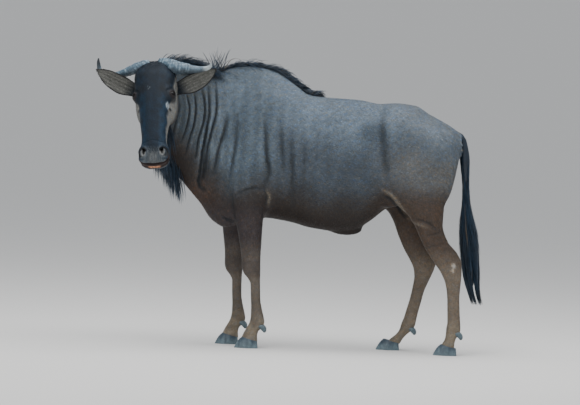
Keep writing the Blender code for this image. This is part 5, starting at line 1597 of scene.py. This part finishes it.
# Ears
def ear_points(side, t, spread):
    """The inner and the outer sheet of an ear, by share of its length and from edge to edge."""
    root = np.array(EAR_ROOT) * FLIPS[side]
    tip = np.array(EAR_TIPS[side]) * FLIPS[side]
    length = np.linalg.norm(tip - root)
    along = (tip - root) / length
    front = np.array(EAR_FACES) - along * np.dot(EAR_FACES, along)
    front /= np.linalg.norm(front)
    across = np.cross(along, front)
    half = curve(EAR_WIDE, t.ravel())[:, None] * EAR_HALF
    opening = np.radians(curve(EAR_FOLD, t.ravel()))[:, None]
    radius = half / np.sin(np.minimum(opening, math.pi / 2))
    angle = opening * spread
    sheets = []
    for skin in (0.0, EAR_THICK):
        thin = skin * (1 - 0.6 * np.abs(spread)) * (1 - 0.5 * t)
        rib = EAR_RIB * np.cos(spread * 9) * np.sin(math.pi * t) * (skin == 0)
        r = radius + thin + rib
        place = root + along * (length * t)[..., None] + across * (r * np.sin(angle))[..., None]
        depth = radius - r * np.cos(angle) - 0.25 * half - EAR_BEND * np.sin(math.pi * t)
        place = place + front * depth[..., None]
        place[..., 2] += EAR_SAG * np.sin(math.pi * t)
        sheets.append(place.reshape(-1, 3))
    return from_head(np.concatenate(sheets))


def ear_faces():
    """Faces of an ear's inner sheet, of its outer sheet, and of the band along its edge."""
    rows, wide = EAR_ROWS, EAR_COLUMNS
    size = rows * wide
    row, column = np.meshgrid(np.arange(rows - 1), np.arange(wide - 1), indexing="ij")
    a = (row * wide + column).ravel()
    inner = np.stack([a, a + 1, a + wide + 1, a + wide], 1)
    ring = [i * wide for i in range(rows - 1)]
    ring += [(rows - 1) * wide + k for k in range(wide - 1)]
    ring += [i * wide + wide - 1 for i in range(rows - 1, 0, -1)]
    ring += list(range(wide - 1, 0, -1))
    band = [(p, q, size + q, size + p) for p, q in zip(ring, ring[1:] + ring[:1])]
    return inner, size + inner[:, ::-1], np.array(band)


def ear(side):
    """A leaf-shaped cup that opens forward, pale inside, dark along its rim, and darker toward its root,
    partly the face's own colour and partly painted shade in the cup.
    """
    t = np.linspace(0, 1, EAR_ROWS)[:, None]
    spread = np.linspace(-1, 1, EAR_COLUMNS)[None, :]
    made = mesh_object("ear_" + side + "_cup", ear_points(side, t, spread), *ear_faces())
    edge = np.maximum(np.abs(spread) * np.ones_like(t), smooth(t, 0.80, 1.0) * np.ones_like(spread)).ravel()
    # Darker toward the root on both sheets: the face's dark colour reaching onto the ear, and inside the
    # cup painted shade
    root_dark_and_shade = (smooth(t, 0.42, 0.08) * np.ones_like(spread)).ravel()
    ridged = (1 + 0.22 * np.cos(spread * 15 + 2 * t) * smooth(t, 0.95, 0.60)).reshape(-1, 1)
    inside = mixed(mixed(EAR_INNER * ridged, FACE, root_dark_and_shade), EAR_RIM, smooth(edge, 0.78, 0.93))
    outside = mixed(mixed(EAR_BACK, FACE, root_dark_and_shade), EAR_RIM, smooth(edge, 0.86, 0.98))
    paint(made, np.concatenate([inside, outside]))
    return made


def everywhere(points):
    """The same weight at each point."""
    return np.ones(len(points))


def nearest_edge(cup, places):
    """For each place, the nearest point on the rim of an ear."""
    rim = np.arange(EAR_ROWS)[:, None] * EAR_COLUMNS + (0, EAR_COLUMNS - 1)
    ring = np.array([cup.data.vertices[int(i)].co for i in rim.ravel()]) - SHIFT
    gaps = np.linalg.norm(places[:, None] - ring[None], axis=2)
    return ring[gaps.argmin(1)]


def ear_hair(cup, side, chance):
    """Fine hair on both faces of an ear, longest along its edges."""
    ends, normals, share = surface_of(cup, everywhere)
    roots, normal = scattered(ends, normals, share, EAR_TUFTS, chance)
    root = np.array(EAR_ROOT) * FLIPS[side]
    along = (np.array(EAR_TIPS[side]) - np.array(EAR_ROOT)) * FLIPS[side] @ AXES
    along /= np.linalg.norm(along)
    front = np.array(EAR_FACES) @ AXES
    ways = flattened(along + UP * chance.normal(0.10, 0.25, EAR_TUFTS)[:, None], normal)
    lengths = chance.uniform(0.005, 0.011, EAR_TUFTS)
    lifts = chance.uniform(0.0006, 0.0020, EAR_TUFTS)
    colour = np.where((normal @ front > 0)[:, None], EAR_INNER * 1.25, EAR_BACK)
    streaks = np.cos((roots @ np.cross(along, front)) * 2 * math.pi / EAR_STREAK + 3 * (roots @ along))
    colour = colour * (1 + 0.34 * streaks)[:, None]
    out = ((roots - from_head(root)) @ along) / EAR_LENGTH
    # Darker toward the root: the face's dark colour, and on the inside painted shade deep in the cup
    colour = mixed(colour, FACE, smooth(out, 0.36, 0.05))
    rim = np.linalg.norm(roots - nearest_edge(cup, roots), axis=1)
    colour = mixed(colour, EAR_RIM, smooth(rim, 0.007, 0.003))
    colour = colour * np.exp(chance.normal(0, 0.35, EAR_TUFTS))[:, None]
    widths = np.full(EAR_TUFTS, EAR_TUFT_WIDTH)
    return tufts("ear_" + side + "_hair", roots, normal, ways, lengths, widths, lifts, colour)


# Horns
def horn(side):
    """A horn from its rough boss out to its smooth tip."""
    stations = np.array(HORNS[side])
    away = np.concatenate([[0], np.cumsum(np.linalg.norm(np.diff(stations[:, :3], axis=0), axis=1))])
    at = np.linspace(0, away[-1], HORN_RINGS)
    *path, thick = columns(away, stations, at)
    path = from_head(np.stack(path, 1))
    share = at / away[-1]
    angles = np.arange(HORN_SIDES) * 2 * math.pi / HORN_SIDES
    grid_at = at[:, None] + 0.004 * np.sin(angles * 2 + 1)[None]
    rough = smooth(share, 0.75, 0.25)[:, None]
    rise, gap = HORN_WRINKLE
    wrinkles = rise * np.sin(grid_at * 2 * math.pi / gap + 2 * np.sin(grid_at * 140)) * rough
    thick = thick[:, None]
    places = [np.broadcast_to(at[:, None], grid_at.shape), np.cos(angles) * thick, np.sin(angles) * thick]
    places = np.stack(places, -1).reshape(-1, 3)
    rise, gap = HORN_LUMP
    lumps = rise * waves(places, gap, HORN_SEEDS[side]).reshape(grid_at.shape) * rough
    factor = 1 + wrinkles + lumps - 0.03 * rough
    points, quads, ends = tube(path, thick * factor, thick * HORN_FLAT * factor, AXES[2], HORN_SIDES)
    made = mesh_object("horn_" + side + "_sheath", points, quads, ends)
    tone = mixed(HORN_MID, HORN_PALE, smooth(factor.ravel(), 0.96, 1.05))
    tone = mixed(tone, HORN_DARK, np.repeat(smooth(share, 0.80, 0.97), HORN_SIDES))
    # Painted shade on the underside of the horn
    tone = mixed(tone, HORN_DARK, 0.65 * np.tile(smooth(np.cos(angles), 0.0, 0.9), HORN_RINGS))
    # Painted highlight on the smooth tip of the left horn
    if side == "left":
        tone = mixed(tone, HORN_TIP_HIGHLIGHT, np.repeat(smooth(share, 0.72, 0.86), HORN_SIDES))
    tone = tone * (1 + 0.22 * waves(places, 0.0070, 16) * np.repeat(rough, HORN_SIDES))[:, None]
    paint(made, np.concatenate([tone, HORN_DARK[None], HORN_MID[None]]))
    return made


# Hooves
def claw(name, toe, middle, inward):
    """One half of a cloven hoof, flat below, with growth rings, cut off above along the coronet."""
    levels = np.linspace(0, 1, CLAW_ROWS)
    back = curve(CLAW_BACK, levels)
    wide = curve(CLAW_WIDE, levels)
    angles = np.arange(CLAW_SIDES) * 2 * math.pi / CLAW_SIDES
    rearward = np.maximum(np.cos(angles), 0)
    points = []
    for i, level in enumerate(levels):
        between = 0 < i < CLAW_ROWS - 1
        ridge = 1 + 0.008 * math.sin(level * CLAW_RINGS) * between
        front_x = toe + back[i] - 0.0006 * math.sin(level * CLAW_RINGS) * between
        rear_x = toe + HOOF_LENGTH - 0.004 * level
        x = (front_x + rear_x) / 2 - (rear_x - front_x) / 2 * np.cos(angles)
        narrow = 1 - HEEL_NARROW * rearward**2
        y = middle + HOOF_HALF * wide[i] * ridge * narrow * np.sin(angles) + inward * HEEL_INWARD * rearward
        run = np.clip((x - toe - CORONET_SETBACK) / (HOOF_LENGTH - CORONET_SETBACK), 0, 1)
        top = CORONET_FRONT + (CORONET_BACK - CORONET_FRONT) * run
        points.append(np.stack([x, y, level * top], 1))
    points = np.concatenate(points)
    first = np.arange(CLAW_SIDES)
    caps = np.array([first, first[::-1] + (CLAW_ROWS - 1) * CLAW_SIDES])
    made = mesh_object(name, points, ring_quads(CLAW_ROWS, CLAW_SIDES)[:, [0, 3, 2, 1]], caps)
    streaks = waves(points * (1.0, 1.0, 0.3), 0.016, 23)
    tone = mixed(HOOF_DARK, HOOF_PALE, smooth(points[:, 2] + 0.012 * streaks, 0.048, 0.006))
    paint(made, tone * (1 + 0.10 * waves(points, 0.02, 13))[:, None])
    return made


def fetlock_back(name):
    """Where the back of a leg is at the height of its dewclaws."""
    slices, stride = (FORE_LEG, FORE_STEP) if "fore" in name else (HIND_LEG, HIND_STEP)
    at = np.array([DEWCLAW_HEIGHT])
    return curve(np.array(slices)[:, (0, 2)], at)[0] + (curve(stride, at)[0] if "right" in name else 0.0)


def dewclaw(name, behind, across):
    """A small horn behind the fetlock."""
    shape = columns(np.arange(len(DEWCLAW_SHAPE)), DEWCLAW_SHAPE, np.linspace(0, 4, DEWCLAW_RINGS))
    back, up, half_along, half_across = shape
    path = np.stack([behind + back, np.full(DEWCLAW_RINGS, across), DEWCLAW_HEIGHT + up], 1)
    points, quads, ends = tube(path, half_along, half_across, np.array([0, 1.0, 0]), DEWCLAW_SIDES)
    points[:, 2] = np.maximum(points[:, 2], DEWCLAW_HEIGHT - DEWCLAW_LOW)
    made = mesh_object(name, points, quads, ends)
    paint(made, HOOF_PALE * 0.75 * (1 + 0.2 * waves(points, 0.01, 14))[:, None])
    return made


# Eyes
EYE_ROWS = 60
EYE_COLUMNS = 72


def eyeball(side):
    """An eye with a dark iris and a long level pupil."""
    centre, ahead, back, down = eye_frame(side)
    polar = np.linspace(0, math.pi, EYE_ROWS)[:, None]
    turn = np.arange(EYE_COLUMNS)[None, :] * 2 * math.pi / EYE_COLUMNS
    u = np.sin(polar) * np.cos(turn)
    v = np.sin(polar) * np.sin(turn)
    w = np.cos(polar) * np.ones_like(turn)
    swell = 1 + 0.035 * smooth(w, 0.80, 0.98) - 0.012
    ways = ahead * w[..., None] + back * u[..., None] + down * v[..., None]
    points = (centre + ways * (EYE_RADIUS * swell)[..., None]).reshape(-1, 3)
    made = mesh_object("eyeball_" + side, points, ring_quads(EYE_ROWS, EYE_COLUMNS)[:, [0, 3, 2, 1]])
    off = np.hypot(u, v).ravel()
    colour = mixed(IRIS, EYE_RING * 0.4, smooth(off, 0.62, 0.74))
    pupil = np.hypot(u.ravel() / 0.42, v.ravel() / 0.24)
    paint(made, mixed(colour, PUPIL, smooth(pupil, 1.1, 0.85)))
    return made


def filled(node, values):
    """A node with its inputs set."""
    for name, value in values.items():
        node.inputs[name].default_value = value
    return node


# Materials
def material(name, roughness, speckle, scale, bump, sheen=0.0, coat=0.0, specular=0.5, streak=(1, 1, 1)):
    """Colour from the layer of coat colours and painted light, with fine variation, and relief from noise
    of two sizes.
    """
    made = bpy.data.materials.new(name)
    made.use_nodes = True
    tree = made.node_tree
    new = tree.nodes.new
    link = tree.links.new
    shader = filled(tree.nodes["Principled BSDF"], {
        "Sheen Weight": sheen, "Sheen Roughness": 0.4, "Coat Weight": coat, "Coat Roughness": 0.04,
        "Specular IOR Level": specular})
    colour = new("ShaderNodeVertexColor")
    colour.layer_name = "markings_and_painted_light"
    place = new("ShaderNodeTexCoord")
    stretch = filled(new("ShaderNodeMapping"), {"Scale": streak})
    fine = filled(new("ShaderNodeTexNoise"), {"Scale": scale, "Detail": 3.0})
    broad = filled(new("ShaderNodeTexNoise"), {"Scale": scale / 9, "Detail": 2.0})
    both = filled(new("ShaderNodeMath"), {1: 0.6})
    both.operation = "MULTIPLY_ADD"
    spread = filled(new("ShaderNodeMapRange"), {
        "From Min": 0.55, "From Max": 1.05, "To Min": 1 - speckle, "To Max": 1 + speckle})
    tinted = new("ShaderNodeVectorMath")
    tinted.operation = "SCALE"
    rough = filled(new("ShaderNodeMapRange"), {"To Min": roughness - 0.08, "To Max": roughness + 0.08})
    raised = filled(new("ShaderNodeBump"), {"Distance": bump, "Strength": 1.0})
    link(place.outputs["Object"], stretch.inputs["Vector"])
    link(stretch.outputs["Vector"], fine.inputs["Vector"])
    link(place.outputs["Object"], broad.inputs["Vector"])
    link(broad.outputs["Fac"], both.inputs[0])
    link(fine.outputs["Fac"], both.inputs[2])
    link(both.outputs[0], spread.inputs["Value"])
    link(colour.outputs["Color"], tinted.inputs[0])
    link(spread.outputs["Result"], tinted.inputs["Scale"])
    link(tinted.outputs[0], shader.inputs["Base Color"])
    link(fine.outputs["Fac"], rough.inputs["Value"])
    link(rough.outputs["Result"], shader.inputs["Roughness"])
    link(both.outputs[0], raised.inputs["Height"])
    link(raised.outputs["Normal"], shader.inputs["Normal"])
    return made


def dress(piece, finish):
    """Gives a piece its material and its body."""
    piece.data.materials.append(finish)
    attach(piece, "root")
    return piece


# Stage
FLOOR_HALF = 2000.0
FLOOR_COLOUR = (0.72, 0.71, 0.69, 1)
FLOOR_ROUGHNESS = 0.9
SKY_COLOUR = (0.83, 0.86, 0.90, 1)
SKY_STRENGTH = 0.75

# Lamps: name, place, size and power, all aimed at one place
LAMPS = (("overhead", (0.3, -0.6, 5.0), 4.5, 300.0), ("fill", (-2.5, -6.0, 3.0), 4.0, 110.0))
LAMP_AIM = Vector((0.0, 0.15, 0.8))

# Point of view
VIEW_TARGET = (0.0137, 0.159, 0.7126)
VIEW_DISTANCE = 24.0
VIEW_ELEVATION = math.radians(2.9)
VIEW_ROLL = math.radians(2.2)
VIEW_LENS = 304.0
VIEW_SENSOR = 36.0
VIEW_FAR = 6000.0


def floor_and_light():
    """A pale floor, an even sky and two large lamps."""
    corners = [(-1, -1, 0), (1, -1, 0), (1, 1, 0), (-1, 1, 0)]
    floor = mesh_object("floor", np.array(corners) * FLOOR_HALF - SHIFT, np.array([(0, 1, 2, 3)]))
    made = bpy.data.materials.new("floor")
    made.use_nodes = True
    shader = made.node_tree.nodes["Principled BSDF"]
    filled(shader, {"Base Color": FLOOR_COLOUR, "Roughness": FLOOR_ROUGHNESS})
    floor.data.materials.append(made)
    world = bpy.data.worlds.new("studio")
    bpy.context.scene.world = world
    world.use_nodes = True
    filled(world.node_tree.nodes["Background"], {"Color": SKY_COLOUR, "Strength": SKY_STRENGTH})
    for name, place, size, power in LAMPS:
        lamp = bpy.data.lights.new(name, "AREA")
        lamp.size = size
        lamp.energy = power
        made = bpy.data.objects.new(name, lamp)
        made.location = place
        made.rotation_euler = (LAMP_AIM - Vector(place)).to_track_quat("-Z", "Y").to_euler()
        bpy.context.scene.collection.objects.link(made)


def camera():
    """A camera that looks level along +Y, turned by the view's elevation and roll."""
    data = bpy.data.cameras.new("camera")
    data.lens = VIEW_LENS
    data.sensor_width = VIEW_SENSOR
    data.clip_end = VIEW_FAR
    look = Vector((0.0, math.cos(VIEW_ELEVATION), -math.sin(VIEW_ELEVATION)))
    right = Vector((1.0, 0.0, 0.0))
    up = right.cross(look)
    across = math.cos(VIEW_ROLL) * right + math.sin(VIEW_ROLL) * up
    above = -math.sin(VIEW_ROLL) * right + math.cos(VIEW_ROLL) * up
    turn = Matrix((across, above, -look)).transposed().to_4x4()
    made = bpy.data.objects.new("camera", data)
    made.matrix_world = Matrix.Translation(Vector(VIEW_TARGET) - look * VIEW_DISTANCE) @ turn
    bpy.context.scene.collection.objects.link(made)
    bpy.context.scene.camera = made


# Finishes: roughness, speckle, scale of the noise and relief, then what differs from the plain shader
FINISHES = {
    "hide": ((0.62, 0.45, 420, 0.0018), {"sheen": 0.05, "specular": 0.30}),
    "fur": ((0.58, 0.32, 500, 0.0006), {"sheen": 0.06, "specular": 0.30}),
    "long_hair": ((0.38, 0.30, 300, 0.0003), {"streak": (1, 1, 0.08)}),
    "ear_fur": ((0.70, 0.35, 380, 0.0014), {"sheen": 0.2, "specular": 0.3}),
    "horn": ((0.45, 0.50, 240, 0.0022), {"specular": 0.45}),
    "hoof": ((0.40, 0.25, 180, 0.0008), {}),
    "wet_eye": ((0.16, 0.20, 900, 0.00002), {"coat": 0.04, "specular": 0.16}),
}


def build():
    """The camera, the stage and all the pieces, each in the place of its solids."""
    chance = np.random.default_rng(SEED)
    camera()
    floor_and_light()
    finish = {name: material(name, *values, **more) for name, (values, more) in FINISHES.items()}

    points, quads, others = skin_mesh()
    skin = mesh_object("skin", points, quads, *by_size(others))
    paint(skin, in_parts(markings_and_painted_light, points))
    dress(skin, finish["hide"])
    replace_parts(skin, "head", "neck", "torso",
                *(leg_name + part for leg_name in LEG_TOES for part in ("_upper", "_lower")))
    for piece in coat(skin, chance):
        dress(piece, finish["fur"])
    for grown in (mane, forelock_arch, wisps, beard, tail_hair):
        dress(grown(chance), finish["long_hair"])
    core = dress(tail_core(), finish["long_hair"])
    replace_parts(core, "tail")
    for side in SIDES:
        cup = dress(ear(side), finish["ear_fur"])
        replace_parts(cup, "ear_" + side)
        dress(ear_hair(cup, side, chance), finish["fur"])
        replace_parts(dress(horn(side), finish["horn"]), "horn_" + side)
        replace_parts(dress(eyeball(side), finish["wet_eye"]), "eye_" + side)
    for name, (side, toe) in LEG_TOES.items():
        middle = side * FOOT_OUT
        for claw_name, aside in (("inner", -side), ("outer", side)):
            hoof = claw(name + "_claw_" + claw_name, toe, middle + aside * CLAW_SPREAD, -aside)
            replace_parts(dress(hoof, finish["hoof"]), name + "_hoof_" + claw_name)
            spur = dewclaw(name + "_spur_" + claw_name, fetlock_back(name), middle + aside * DEWCLAW_ASIDE)
            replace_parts(dress(spur, finish["hoof"]), name + "_dewclaw_" + claw_name)


build()
